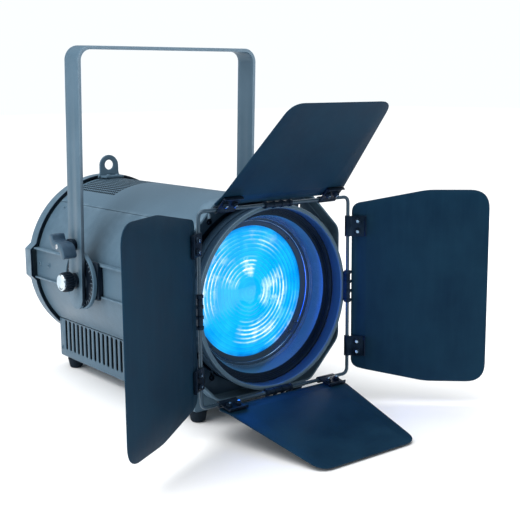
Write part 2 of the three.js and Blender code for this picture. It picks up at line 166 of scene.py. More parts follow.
def heightShadedEdge(name, look):
    # cut edge of the yoke bar: painted shade near the pivots, painted light growing towards the handle end
    f = Finish(name, {"Specular IOR Level": 0.4, "Specular Tint": coolGlint})
    z = f.node("ShaderNodeSeparateXYZ", None, {0: f.place}, out=2)
    grain = f.noise(1.8, 3.0, 0.6)
    share = f.between(z + (f.noise(0.03, 4.0) - 0.5) * look["patch"], *look["heights"])
    tone = f.mix(share, look["dark"], look["light"])
    f.feed("Base Color", f.mix(f.between(grain, 0.55, 0.7) * share * 0.4, tone, look["shine"]))
    f.feed("Roughness", 0.5 - share * 0.12 + (grain - 0.5) * 0.1)
    f.bump(grain, 0.00004)
    return f.material


def leafCoat(name, look):
    # matt heat-proof paint on thin sheet: rolled streaks, dust and finger marks
    f = Finish(name, {"Specular IOR Level": 0.24, "Specular Tint": (0.26, 0.58, 1, 1)})
    streak = f.noise(0.25, 3.0, 0.6, f.stretched((0.5, 0.5, 0.06)))
    cloud = f.noise(0.014, 5.0, 0.6)
    grain = f.noise(2.2, 2.0, 0.6)
    tone = f.mix(f.between(cloud, 0.3, 0.72), look["dark"], look["light"])
    tone = f.mix(f.between(streak, 0.45, 0.75) * 0.13, tone, look["dust"])
    tone = f.mix(f.edges(0.53, 0.64) * 0.6, tone, look["dust"])
    f.feed("Base Color", tone)
    f.feed("Roughness", f.between(cloud, 0.3, 0.7, *look["rough"]) + (grain - 0.5) * 0.1)
    f.bump(grain + streak * 0.3, 0.00004)
    return f.material


def moulded(name, look):
    # moulded plastic or rubber: spark-eroded grain and a little dust
    f = Finish(name, {"Specular IOR Level": look.get("specular", 0.3), "Specular Tint": (0.5, 0.75, 1, 1)})
    grain = f.noise(look.get("grain", 3.0), 2.0, 0.7)
    dust = f.between(f.noise(0.05, 5.0, 0.65), 0.45, 0.75)
    f.feed("Base Color", f.mix(dust * look.get("dust", 0.3), look["base"], look["pale"]))
    f.feed("Roughness", f.between(dust, 0.0, 1.0, *look["rough"]))
    f.bump(grain, look.get("depth", 0.00005))
    return f.material


def bareMetal(name, look):
    # plated or machined metal: fine lay lines, dull patches
    f = Finish(name, {"Metallic": 1.0})
    lines = f.noise(1.2, 2.0, 0.7, f.stretched(look.get("lay", (0.08, 3.0, 3.0))))
    patch = f.noise(0.06, 4.0)
    f.feed("Base Color", f.mix(f.between(patch, 0.35, 0.7), look["dark"], look["light"]))
    f.feed("Roughness", f.between(patch, 0.3, 0.7, *look["rough"]) + (lines - 0.5) * 0.15)
    f.bump(lines, look.get("depth", 0.00002))
    return f.material


coats = {
    "housing_paint": powderCoat("slatePowder", {
        "dark": (0.058, 0.108, 0.154), "light": (0.074, 0.13, 0.182), "shine": (0.2, 0.3, 0.38),
        "rough": (0.4, 0.52), "wearAndHighlightShare": 0.45}),
    "yoke_paint": powderCoat("yokePowder", {
        "dark": (0.05, 0.102, 0.148), "light": (0.08, 0.14, 0.195), "shine": (0.24, 0.33, 0.4),
        "rough": (0.36, 0.5), "grain": 2.0, "wearAndHighlightShare": 0.55}),
    "black_metal": powderCoat("blackPowder", {
        "dark": (0.001, 0.003, 0.008), "light": (0.003, 0.007, 0.016), "shine": (0.03, 0.05, 0.08),
        "rough": (0.32, 0.48), "wearAndHighlightShare": 0.5, "fleck": 0.12, "specular": 0.26, "tint": (0.3, 0.6, 1, 1)}),
    "leaf_paint": leafCoat("leafNavy", {
        "dark": (0.002, 0.014, 0.032), "light": (0.006, 0.029, 0.054), "dust": (0.016, 0.052, 0.088),
        "rough": (0.46, 0.64)}),
    "black_plastic": moulded("mouldedBlack", {
        "base": (0.002, 0.005, 0.011), "pale": (0.014, 0.024, 0.038), "rough": (0.34, 0.52)}),
    "rubber": moulded("softRubber", {
        "base": (0.006, 0.01, 0.016), "pale": (0.03, 0.045, 0.06), "rough": (0.7, 0.9),
        "grain": 2.0, "depth": 0.0001, "specular": 0.2}),
    "zinc": bareMetal("zincPlate", {
        "dark": (0.42, 0.46, 0.5), "light": (0.62, 0.65, 0.68), "rough": (0.24, 0.42)}),
    "bare_aluminium": bareMetal("millAluminium", {
        "dark": (0.5, 0.52, 0.54), "light": (0.7, 0.71, 0.73), "rough": (0.3, 0.48)}),
    "board_green": moulded("solderMask", {
        "base": (0.01, 0.09, 0.045), "pale": (0.05, 0.2, 0.12), "rough": (0.3, 0.45), "specular": 0.5}),
    "supply_case": bareMetal("supplyCase", {
        "dark": (0.4, 0.41, 0.43), "light": (0.55, 0.56, 0.58), "rough": (0.35, 0.55)}),
    "lamp": moulded("phosphor", {
        "base": (0.75, 0.6, 0.12), "pale": (0.9, 0.8, 0.4), "rough": (0.4, 0.6)}),
}
wirePaint = powderCoat("wirePaint", {
    "dark": (0.012, 0.03, 0.05), "light": (0.024, 0.05, 0.078), "shine": (0.14, 0.22, 0.3),
    "rough": (0.24, 0.36), "peel": 0.00003, "specular": 0.7})
# edge paint for the yoke bar: painted shade low down, painted light higher up
yokeEdge = heightShadedEdge("yokeEdge", {
    "dark": (0.004, 0.01, 0.02), "light": (0.2, 0.29, 0.37), "shine": (0.42, 0.52, 0.6), "patch": 90,
    "heights": (10, 190)})
# darker copy of the slate paint, used as painted shade on faces that lie in shadow
shadePaint = powderCoat("shadePaint", {
    "dark": (0.014, 0.034, 0.062), "light": (0.025, 0.053, 0.09), "shine": (0.09, 0.15, 0.21),
    "rough": (0.4, 0.55)})
# near-black foam, used as painted shade behind the vents and slots
ventShadeFoam = moulded("ventShadeFoam", {
    "base": (0.0008, 0.002, 0.004), "pale": (0.006, 0.01, 0.015), "rough": (0.85, 0.95), "grain": 0.9,
    "depth": 0.0003, "specular": 0.1})
nosePaint = powderCoat("nosePaint", {
    "dark": (0.045, 0.085, 0.13), "light": (0.065, 0.115, 0.165), "shine": (0.2, 0.3, 0.38),
    "rough": (0.2, 0.32), "peel": 0.00002, "specular": 0.7})
leverPaint = moulded("leverGrey", {
    "base": (0.035, 0.075, 0.115), "pale": (0.09, 0.15, 0.2), "rough": (0.34, 0.5), "grain": 1.4,
    "depth": 0.00008})
springWire = bareMetal("springWire", {
    "dark": (0.14, 0.24, 0.36), "light": (0.3, 0.42, 0.55), "rough": (0.1, 0.18), "lay": (0.4, 0.4, 0.4)})
brightCap = bareMetal("polishedCap", {
    "dark": (0.45, 0.55, 0.62), "light": (0.68, 0.76, 0.8), "rough": (0.14, 0.24), "lay": (0.4, 0.4, 0.4)})
tickPaint = moulded("tickPaint", {
    "base": (0.16, 0.22, 0.28), "pale": (0.26, 0.34, 0.4), "rough": (0.5, 0.6)})
goldPin = bareMetal("goldPin", {"dark": (0.7, 0.5, 0.2), "light": (0.9, 0.7, 0.35), "rough": (0.2, 0.3)})
print("finishes", len(coats))


def litLens(look):
    # moulded glass whose blue light is painted as a glow: every step of the lens carries its own painted arc of
    # white highlight
    f = Finish("litLens", {"Roughness": 0.12, "Coat Weight": 0.35, "Coat Roughness": 0.05,
                           "Emission Strength": look["strength"], "Specular IOR Level": 0.3})
    parts = f.node("ShaderNodeSeparateXYZ", None, {0: f.place})
    x, z = parts, Value(f, parts.socket.node.outputs[2])
    r = f.node("ShaderNodeVectorMath", {"operation": "LENGTH"},
               {0: f.stretched((1.0, 0.0, 1.0))}, out="Value")
    angle = f.node("ShaderNodeMath", {"operation": "ARCTAN2"}, {0: z, 1: x})
    step = f.node("ShaderNodeMath", {"operation": "FRACT"}, {0: (r - look["bulge"]) / look["pitch"]})
    ridge = f.between(step, 0.5, 0.82) * f.between(step, 0.9, 1.0, 1.0, 0.0)
    groove = f.between(step, 0.0, 0.16, 1.0, 0.0)
    body = f.node("ShaderNodeValToRGB", {"stops": look["body"]}, {0: r / look["radius"]})
    cloud = f.noise(0.035, 3.0)
    body = f.mix(f.between(cloud, 0.35, 0.7), body, f.mix(0.5, body, look["pale"]))
    # the grooves between steps are painted deeper, as shade
    body = f.mix(groove * f.between(r, look["bulge"], look["bulge"] + 4) * 0.55, body, look["deep"])
    white = None
    for turn, width, near, far, power in look["arcs"]:
        # an arc is centred on an angle and lives between two radii
        off = f.node("ShaderNodeMath", {"operation": "WRAP"}, {0: angle - radians(turn), 1: pi, 2: -pi})
        side = f.between(f.node("ShaderNodeMath", {"operation": "ABSOLUTE"}, {0: off}),
                         radians(width) * 0.35, radians(width), 1.0, 0.0)
        part = side * f.between(r, near - 6, near + 2) * f.between(r, far - 2, far + 6, 1.0, 0.0) * power
        if white is None:
            white = part
        else:
            white = f.node("ShaderNodeMath", {"operation": "MAXIMUM"}, {0: white, 1: part})
    sparkle = f.between(f.noise(0.09, 3.0), 0.35, 0.6, 0.3, 1.0)
    turnOf = f.node("ShaderNodeMath", {"operation": "FLOOR"}, {0: (r - look["bulge"]) / look["pitch"]})
    along = f.node("ShaderNodeCombineXYZ", None, {0: x * 0.02, 1: z * 0.02, 2: turnOf * 3.7})
    uneven = f.between(f.noise(1.0, 1.0, 0.5, along), 0.38, 0.62, 0.12, 1.0)
    # painted white highlights along the crests of the steps
    glint = ridge * white * sparkle * uneven * f.between(r, look["bulge"] - 1, look["bulge"] + 1)
    bloom = f.between(f.noise(0.05, 4.0, 0.6), 0.5, 0.72) * white * 0.35
    body = f.mix(bloom, body, look["white"])
    f.feed("Emission Color", f.mix(glint, body, look["white"]))
    f.feed("Base Color", f.mix(ridge * 0.1, (0.0, 0.02, 0.08), look["pale"]))
    f.bump(f.noise(0.3, 2.0), 0.0001)
    return f.material


# mesh building
def softened(points, radius, steps=3, closed=True):
    # rounds the corners of a line of (a, b) points; a third number is a corner's own radius
    out = []
    count = len(points)
    for i, p in enumerate(points):
        here = Vector(p[:2])
        if not closed and i in (0, count - 1):
            out.append(tuple(here))
            continue
        before = Vector(points[i - 1][:2]) - here
        after = Vector(points[(i + 1) % count][:2]) - here
        reach = min(p[2] if len(p) > 2 else radius, before.length * 0.48, after.length * 0.48)
        start, end = here + before.normalized() * reach, here + after.normalized() * reach
        for k in range(steps + 1):
            t = k / steps
            out.append(tuple(start * (1 - t) ** 2 + here * 2 * t * (1 - t) + end * t * t))
    return out


def area(ring):
    return sum(a[0] * b[1] - b[0] * a[1] for a, b in zip(ring, ring[1:] + ring[:1])) / 2


def insideOdd(spot, rings):
    # true on the sheet, false in its holes
    hits = 0
    for ring in rings:
        for a, b in zip(ring, ring[1:] + ring[:1]):
            if (a[1] > spot.y) != (b[1] > spot.y):
                hits += spot.x < a[0] + (spot.y - a[1]) / (b[1] - a[1]) * (b[0] - a[0])
    return hits % 2 == 1


def turnedRound(ring, anticlockwise=True):
    return ring if (area(ring) > 0) == anticlockwise else ring[::-1]


def inset(ring, distance):
    # moves a ring to its left, which is inwards for an anticlockwise one
    out = []
    count = len(ring)
    for i in range(count):
        a, p, b = Vector(ring[i - 1]), Vector(ring[i]), Vector(ring[(i + 1) % count])
        u, v = (p - a).normalized(), (b - p).normalized()
        if u.length < 0.5:
            u = v
        if v.length < 0.5:
            v = u
        na, nb = Vector((-u.y, u.x)), Vector((-v.y, v.x))
        m = (na + nb).normalized()
        out.append(tuple(p + m * distance / max(0.4, m.dot(na))))
    return out


def circle(radius, cx=0.0, cy=0.0, steps=32, start=0.0):
    return [(cx + radius * cos(start + 2 * pi * k / steps), cy + radius * sin(start + 2 * pi * k / steps))
            for k in range(steps)]


def arcOf(radius, degrees, cx=0.0, cy=0.0):
    return [(cx + radius * cos(radians(a)), cy + radius * sin(radians(a))) for a in degrees]


def slotRing(cx, cy, width, height, steps=6):
    # an upright slot with round ends
    r = width / 2
    lift = height / 2 - r
    ring = [(cx + r * cos(pi * k / steps), cy + lift + r * sin(pi * k / steps)) for k in range(steps + 1)]
    return ring + [(cx + r * cos(pi + pi * k / steps), cy - lift + r * sin(pi + pi * k / steps))
                   for k in range(steps + 1)]


def rectangle(x0, x1, y0, y1):
    return [(x0, y0), (x1, y0), (x1, y1), (x0, y1)]


def facing(axis, centre=(0, 0, 0)):
    # turns (u, v, w) into a place: w runs along the axis
    cx, cy, cz = centre
    return {
        "x": lambda u, v, w: (cx + w, cy + u, cz + v),
        "y": lambda u, v, w: (cx + u, cy + w, cz + v),
        "z": lambda u, v, w: (cx + u, cy + v, cz + w),
    }[axis]


class Maker:
    # gathers the parts of one piece in a single mesh
    def __init__(self, turn=None):
        self.mesh = bmesh.new()
        self.turn = turn or Matrix.Identity(4)
        self.skin = 0

    def add(self, points, faces):
        verts = [self.mesh.verts.new(self.turn @ Vector(p)) for p in points]
        for face in faces:
            made = self.mesh.faces.new([verts[i] for i in face])
            made.material_index = self.skin
            made.smooth = True

    def loft(self, rings, loop=False, caps=False, strip=False):
        count = len(rings[0])
        faces = []
        for i in range(len(rings) if loop else len(rings) - 1):
            j = (i + 1) % len(rings)
            for k in range(count - 1 if strip else count):
                m = (k + 1) % count
                faces.append((i * count + k, i * count + m, j * count + m, j * count + k))
        if caps:
            faces.append(tuple(range(count))[::-1])
            faces.append(tuple((len(rings) - 1) * count + k for k in range(count)))
        self.add([p for ring in rings for p in ring], faces)

    def spin(self, profile, axis="y", centre=(0, 0, 0), steps=96, arc=None, soft=0.0, bend=2):
        # turns a closed profile of (radius, along the axis) points
        if soft:
            profile = softened(profile, soft, bend)
        put = facing(axis, centre)
        if arc:
            angles = [radians(arc[0] + (arc[1] - arc[0]) * k / steps) for k in range(steps + 1)]
        else:
            angles = [2 * pi * k / steps for k in range(steps)]
        rings = [[put(r * sin(a), r * cos(a), t) for r, t in profile] for a in angles]
        self.loft(rings, loop=not arc, caps=bool(arc))

    def rod(self, axis, centre, radius, start, end, steps=24, edge=0.3):
        edge = min(edge, radius * 0.4, abs(end - start) * 0.4)
        s = 1 if end > start else -1
        self.spin([(0, start), (radius - edge, start), (radius - edge * 0.3, start + s * edge * 0.3),
                   (radius, start + s * edge), (radius, end - s * edge),
                   (radius - edge * 0.3, end - s * edge * 0.3), (radius - edge, end), (0, end)],
                  axis, centre, steps)

    def panel(self, outline, holes=(), start=0.0, end=1.0, edge=0.3, put=None, cuts=()):
        # a plate with holes and rounded edges, then laid or bent into place
        put = put or facing("y")
        rings = [turnedRound(list(outline))] + [turnedRound(list(h), False) for h in holes]
        levels = [(edge, start), (edge * 0.3, start + edge * 0.3), (0, start + edge),
                  (0, end - edge), (edge * 0.3, end - edge * 0.3), (edge, end)]
        flat = bmesh.new()
        for ring in rings:
            loops = [[(*p, w) for p in inset(ring, d)] for d, w in levels]
            verts = [[flat.verts.new(p) for p in loop] for loop in loops]
            for a, b in zip(verts, verts[1:]):
                for k in range(len(ring)):
                    m = (k + 1) % len(ring)
                    flat.faces.new((a[k], a[m], b[m], b[k]))
        inner = [inset(ring, edge) for ring in rings]
        spread, sides = [], []
        for ring in inner:
            first = len(spread)
            spread += [Vector(p) for p in ring]
            sides += [(first + k, first + (k + 1) % len(ring)) for k in range(len(ring))]
        points, _, faces, *_ = delaunay_2d_cdt(spread, sides, [], 1, 1e-5)
        faces = [f for f in faces if insideOdd(sum((points[i] for i in f), Vector((0, 0))) / len(f), inner)]
        for w in (start, end):
            verts = [flat.verts.new((*p, w)) for p in points]
            for face in faces:
                flat.faces.new([verts[i] for i in face])
        bmesh.ops.remove_doubles(flat, verts=flat.verts, dist=0.0005)
        for along, value in cuts:
            spot = Vector((value, 0, 0) if along == "u" else (0, value, 0))
            normal = (1, 0, 0) if along == "u" else (0, 1, 0)
            bmesh.ops.bisect_plane(flat, geom=flat.verts[:] + flat.edges[:] + flat.faces[:],
                                   plane_co=spot, plane_no=normal)
        flat.verts.index_update()
        self.add([put(*v.co) for v in flat.verts], [[v.index for v in f.verts] for f in flat.faces])
        flat.free()

    def tube(self, path, radius, sides=16, closed=True):
        points = [Vector(p) for p in path]
        count = len(points)
        rings = []
        up = None
        for i, p in enumerate(points):
            ahead = points[(i + 1) % count] if closed or i < count - 1 else p
            behind = points[i - 1] if closed or i > 0 else p
            way = (ahead - behind).normalized()
            if up is None:
                up = way.orthogonal().normalized()
            up = (up - way * up.dot(way)).normalized()
            side = way.cross(up)
            rings.append([p + (up * cos(2 * pi * k / sides) + side * sin(2 * pi * k / sides)) * radius
                          for k in range(sides)])
        self.loft(rings, loop=closed, caps=not closed)

    def screw(self, axis, centre, radius, height, way=1, sides=6):
        # a domed head with a six-sided socket; way is the side of the axis it faces
        h = height * way
        put = facing(axis, centre)
        profile = [(radius, 0), (radius, 0.35 * h), (radius * 0.93, 0.62 * h), (radius * 0.78, 0.85 * h),
                   (radius * 0.62, h)]
        steps = 24
        angles = [2 * pi * k / steps for k in range(steps)]
        rings = [[put(r * sin(a), r * cos(a), t) for a in angles] for r, t in profile]
        reach = radius * 0.46
        for t in (h, 0.3 * h):
            rings.append([put(*Vector((sin(a), cos(a))) * (reach / cos(a % (2 * pi / sides) - pi / sides)), t)
                          for a in angles])
        self.loft(rings)
        for end in (rings[0], rings[-1]):
            self.add(end, [tuple(range(steps))])

    def piece(self, name, body, slot, replaces=(), finishes=(), sharp=34):
        mesh = self.mesh
        bmesh.ops.remove_doubles(mesh, verts=mesh.verts, dist=0.001)
        bmesh.ops.recalc_face_normals(mesh, faces=mesh.faces)
        bmesh.ops.transform(mesh, matrix=Matrix.Translation(beam) @ Matrix.Scale(0.001, 4), verts=mesh.verts)
        data = bpy.data.meshes.new(name)
        mesh.to_mesh(data)
        mesh.free()
        data.set_sharp_from_angle(angle=radians(sharp))
        for finish in finishes or (coats[slot],):
            data.materials.append(finish)
        thing = bpy.data.objects.new(name, data)
        bpy.context.scene.collection.objects.link(thing)
        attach(thing, body)
        if replaces:
            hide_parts(*replaces)
        return thing


# barrel: a vented top skin and two side skins
barrel = {"radius": 128, "sheet": 1.6, "front": 47, "rear": 427, "seam": 41, "sill": 131.5,
          "ventFrom": 307, "ventTo": 420, "ventAngle": 28, "rows": 20, "columns": 22, "hole": 0.76,
          "corner": 0.86, "liner": 124.6, "linerThick": 0.8, "linerPast": 4, "rim": 1.5, "gap": 0.4,
          "screws": (70, 400), "screwAngle": 46}


def makeTopSkin():
    b = barrel
    side = [b["ventAngle"] + (b["seam"] - b["ventAngle"]) * k / 6 for k in range(1, 7)]
    fan = [-b["ventAngle"] + b["ventAngle"] * k / b["columns"] for k in range(2 * b["columns"] + 1)]
    angles = [-a for a in side[::-1]] + fan + side
    plain, vented = b["ventFrom"] - b["front"], b["ventTo"] - b["ventFrom"]
    ahead = [b["front"], b["front"] + b["rim"]] + [b["front"] + plain * k / 8 for k in range(1, 8)]
    mesh = [b["ventFrom"] + vented * k / (2 * b["rows"]) for k in range(2 * b["rows"] + 1)]
    lengths = ahead + mesh + [b["rear"] - b["rim"], b["rear"]]
    firstColumn, firstRow = len(side), len(ahead)
    m = Maker()
    outer, inner = b["radius"], b["radius"] - b["sheet"]

    def spot(i, j, r):
        a = radians(angles[i])
        return (r * sin(a), lengths[j], r * cos(a))

    def quads(corners):
        for r in (outer, inner):
            m.add([spot(i, j, r) for i, j in corners], [tuple(range(len(corners)))])

    for i in range(len(angles) - 1):
        for j in range(len(lengths) - 1):
            holed = (firstColumn <= i < firstColumn + 2 * b["columns"]
                     and firstRow <= j < firstRow + 2 * b["rows"])
            if not holed:
                quads([(i, j), (i + 1, j), (i + 1, j + 1), (i, j + 1)])
    for c in range(b["columns"]):
        for r in range(b["rows"]):
            i, j = firstColumn + 2 * c, firstRow + 2 * r
            ring = [(i, j), (i + 1, j), (i + 2, j), (i + 2, j + 1), (i + 2, j + 2), (i + 1, j + 2),
                    (i, j + 2), (i, j + 1)]
            mid = (angles[i + 1], lengths[j + 1])
            levels = []
            for radius in (outer, inner):
                edge = [spot(p, q, radius) for p, q in ring]
                hole = []
                for k, (p, q) in enumerate(ring):
                    share = b["hole"] * (b["corner"] if k % 2 == 0 else 1.0)
                    a = radians(mid[0] + (angles[p] - mid[0]) * share)
                    hole.append((radius * sin(a), mid[1] + (lengths[q] - mid[1]) * share, radius * cos(a)))
                levels.append((edge, hole))
            # the walls of each hole take the near-black foam as painted shade
            for rings, skin in (((levels[0][0], levels[0][1]), 0), ((levels[1][1], levels[1][0]), 0),
                                ((levels[0][1], levels[1][1]), 1)):
                m.skin = skin
                m.loft(rings)
            m.skin = 0
    # the rim of the sheet
    last, end = len(angles) - 1, len(lengths) - 1
    for i in (0, last):
        m.loft([[spot(i, j, r) for j in range(end + 1)] for r in (outer, inner)], strip=True)
    for j in (0, end):
        m.loft([[spot(i, j, r) for i in range(last + 1)] for r in (outer, inner)], strip=True)
    m.skin = 1
    # dark gauze under the holes, painted shade for the inside seen through them
    gauze = rectangle(b["liner"], b["liner"] + b["linerThick"], b["ventFrom"] - b["linerPast"],
                      b["ventTo"] + b["linerPast"])
    m.spin(gauze, steps=28, arc=(-b["ventAngle"] - 2, b["ventAngle"] + 2))
    m.piece("topSkin", "housing", "housing_paint", ["top_shell"], (coats["housing_paint"], ventShadeFoam))


def makeSideSkins():
    b = barrel
    for side, s in leftRight:
        m = Maker()
        section = rectangle(b["radius"] - b["sheet"], b["radius"], b["front"], b["rear"])
        m.spin(section, steps=60, arc=(s * (b["seam"] + b["gap"]), s * b["sill"]), soft=0.4)
        # a fixing just under the seam, near each end
        for y in b["screws"]:
            turn = Matrix.Rotation(radians(b["screwAngle"] * s), 4, "Y")
            m.turn = turn @ Matrix.Translation((0, y, b["radius"] - 0.5))
            m.screw("z", (0, 0, 0), 3.2, 1.6)
        m.piece("sideSkin" + side, "housing", "housing_paint", ["side_shell_" + side.lower()])


makeTopSkin()
makeSideSkins()

# slide rails, slide blocks, friction discs, pivot knobs
rail = {"z": 5.5, "root": 125.4, "foot": 128.2, "out": 133.6, "front": 62, "half": 23.4, "wall": 1.4,
        "lip": 2.6, "screws": (80, 150, 386, 414)}
slider = {"y0": 222, "y1": 307, "in": 130.2, "out": 134.2, "face": 138, "half": 20.2, "faceHalf": 26.4,
          "screwEdge": 9, "screwZ": 12, "stud": 6, "studIn": 137, "studOut": 163, "thread": 139,
          "pitch": 0.62, "turns": 9}
disc = {"radius": 41.5, "in": 138.4, "out": 144.6, "bore": 6.4, "ticks": 36, "short": 3.6, "long": 6.4}
knob = {"neck": 9.5, "head": 14, "from": 150.4, "to": 170.6, "bore": 6.4, "neckEnd": 157.4, "cap": 11.6,
        "flutes": 22}
pivot = (264.5, 3)
axle = (0, *pivot)


def makeRails():
    for side, s in leftRight:
        # a shallow channel: feet on the skin, thin walls, narrow turned-in lips
        h, w, out, foot = rail["half"], rail["wall"], rail["out"], rail["foot"]
        upper = [(foot + w, h - w), (out - w, h - w), (out - w, h - rail["lip"]), (out, h - rail["lip"]),
                 (out, h), (rail["root"], h), (rail["root"], h - w), (foot, h - w)]
        section = upper + [(x, -z) for x, z in reversed(upper)]
        m = Maker()
        ring = softened([(s * x, rail["z"] + z) for x, z in section], 0.4, 2)
        m.panel(ring, (), rail["front"], barrel["rear"], 0.25)
        for y in rail["screws"]:
            m.screw("x", (s * (foot + w - 0.2), y, rail["z"]), 3.6, 1.8, s)
        m.piece("slideRail" + side, "housing", "housing_paint", ["slide_rail_" + side.lower()])


def makeSliders():
    for side, s in leftRight:
        m = Maker()
        z = rail["z"]
        put = facing("x")
        for half, start, end in ((slider["half"], slider["in"], slider["out"]),
                                 (slider["faceHalf"], slider["out"] - 0.2, slider["face"])):
            ring = softened(rectangle(slider["y0"], slider["y1"], z - half, z + half), 3, 3)
            m.panel(ring, (), *sorted((s * start, s * end)), 0.6, put)
        for y in (slider["y0"] + slider["screwEdge"], slider["y1"] - slider["screwEdge"]):
            for dz in (-slider["screwZ"], slider["screwZ"]):
                m.screw("x", (s * (slider["face"] - 0.6), y, z + dz), 3.4, 1.8, s)
        m.rod("x", axle, slider["stud"], s * slider["studIn"], s * slider["studOut"], 32)
        for k in range(slider["turns"]):
            # thread of the clamping stud between disc and arm
            along = slider["thread"] + k * slider["pitch"]
            m.spin([(5.9, s * along), (6.25, s * (along + 0.3)), (5.9, s * (along + 0.6))], "x", axle, 32)
        m.piece("slideBlock" + side, "yoke_slide", "black_plastic", ["slide_block_" + side.lower()])

        m = Maker()
        a, b = s * disc["in"], s * disc["out"]
        r, bore = disc["radius"], disc["bore"]
        # slate rim round a washer-shaped face painted black as shade
        m.spin([(r - 3, a), (r - 0.8, a), (r, a + s * 0.8), (r, b - s * 0.9), (r - 0.7, b - s * 0.2),
                (r - 1.4, b), (r - 2.4, b), (r - 3, b - s * 0.8)], "x", axle, 120, soft=0.2)
        m.skin = 1
        m.spin([(bore, a), (r - 2.8, a), (r - 2.8, b - s * 1.6), (r - 3.4, b - s * 1.4), (20, b - s * 1.4),
                (18.8, b), (bore, b)], "x", axle, 120, soft=0.25)
        m.skin = 2
        for k in range(disc["ticks"]):
            # scale marks for the tilt, longer at every third
            long = disc["short"] if k % 3 else disc["long"]
            m.turn = Matrix.Translation(axle) @ Matrix.Rotation(2 * pi * k / disc["ticks"], 4, "X")
            m.panel(rectangle(-0.4, 0.4, r - 5 - long, r - 5), (),
                    *sorted((b - s * 1.7, b - s * 1.25)), 0.05, facing("x"))
        m.piece("frictionDisc" + side, "yoke_slide", "yoke_paint", ["friction_disc_" + side.lower()],
                (coats["yoke_paint"], coats["black_plastic"], tickPaint))


def makeKnobs():
    for side, s in leftRight:
        m = Maker()
        n, h, bore = knob["neck"], knob["head"], knob["bore"]
        m.spin([(bore, s * knob["from"]), (n + 1.8, s * knob["from"]), (n + 1.8, s * 152.2), (n, s * 152.8),
                (n, s * knob["neckEnd"]), (bore, s * knob["neckEnd"])], "x", axle, 48, soft=0.4)
        # grip: deep round flutes, chamfered at both ends
        steps = knob["flutes"] * 8

        def fluted(size, t):
            out = []
            for k in range(steps):
                wave = abs(sin(k * pi / 8)) ** 0.8
                r = size * (0.9 + 0.1 * wave)
                out.append((t, pivot[0] + r * cos(2 * pi * k / steps), pivot[1] + r * sin(2 * pi * k / steps)))
            return out

        levels = [(h - 4, 156.8), (h - 1.4, 157), (h - 0.4, 157.7), (h, 158.6), (h, 168.4), (h - 0.4, 169.6),
                  (h - 1.4, 170.4), (h - 3, knob["to"])]
        m.loft([fluted(size, s * t) for size, t in levels], caps=True)
        m.skin = 1
        # bright cap with a turned rim
        rim = [(0, -0.4), (knob["cap"], -0.4), (knob["cap"], 1.7), (10.9, 2.6), (9.9, 2.8), (9.2, 2.2),
               (8, 1.9), (4, 2.2), (0, 2.4)]
        m.spin([(r, s * (knob["to"] + t)) for r, t in rim], "x", axle, 64)
        m.piece("pivotKnob" + side, "knob_" + side.lower(), "black_plastic", ["pivot_knob_" + side.lower()],
                (coats["black_plastic"], brightCap))


makeRails()
makeSliders()
makeKnobs()
print("barrel, rails and pivots")

# yoke: one flat bar bent round two corners, leaning forward
yoke = {"half": 150, "thick": 5, "width": 38, "top": 326, "corner": 20, "end": -38, "lean": 2.3,
        "lever": 54.5, "clampHole": 6.5, "sideHole": 5.5, "sideAt": 50, "pivotHole": 6.4, "leverHole": 4.4}


def leaning():
    spot = Vector(axle)
    lean = Matrix.Rotation(radians(yoke["lean"]), 4, "X")
    return Matrix.Translation(spot) @ lean @ Matrix.Translation(-spot)


def makeYoke():
    y = yoke
    mid = y["corner"] - y["thick"] / 2
    # crown is half of the straight top
    crown = y["half"] - y["corner"]
    turnLength = mid * pi / 2
    leg = y["top"] - y["corner"] - y["end"]
    total = crown + turnLength + leg

    def put(u, v, w):
        # u runs along the bar from the middle of the top, v across it, w from its outer face inwards
        side = 1 if u >= 0 else -1
        far = abs(u)
        if far <= crown:
            x, z = far, y["top"] - w
        elif far <= crown + turnLength:
            a = (far - crown) / mid
            r = y["corner"] - w
            x, z = crown + r * sin(a), y["top"] - y["corner"] + r * cos(a)
        else:
            x, z = y["half"] - w, y["top"] - y["corner"] - (far - crown - turnLength)
        return (side * x, pivot[0] + v, z)

    def along(z):
        return total - (z - y["end"])

    r = y["width"] / 2
    ring = [(total - r + r * sin(pi * k / 24), -r * cos(pi * k / 24)) for k in range(25)]
    ring += [(-u, -v) for u, v in ring]
    holes = [circle(y["pivotHole"], s * along(pivot[1]), 0, 32) for s in (-1, 1)]
    holes += [circle(y["leverHole"], -along(y["lever"]), 0, 24), circle(y["clampHole"], 0, 0, 32)]
    holes += [circle(y["sideHole"], s * y["sideAt"], 0, 28) for s in (-1, 1)]
    cuts = [("u", s * (crown + turnLength * k / 10)) for k in range(11) for s in (-1, 1)]
    m = Maker(leaning())
    m.panel(ring, holes, 0, y["thick"], 0.7, put, cuts)
    m.mesh.normal_update()
    # the front and back edges of the bar take the edge paint with its painted shade and painted light
    for face in m.mesh.faces:
        if abs((face.normal @ m.turn.to_3x3()).y) > 0.8:
            face.material_index = 1
    m.piece("yokeBar", "yoke", "yoke_paint", ["yoke"], (coats["yoke_paint"], yokeEdge))


# S-shaped locking lever
lever = {"reach": 21, "sway": -4.6, "thick": 6.4, "tilt": 34, "out": -178, "in": -158.5}


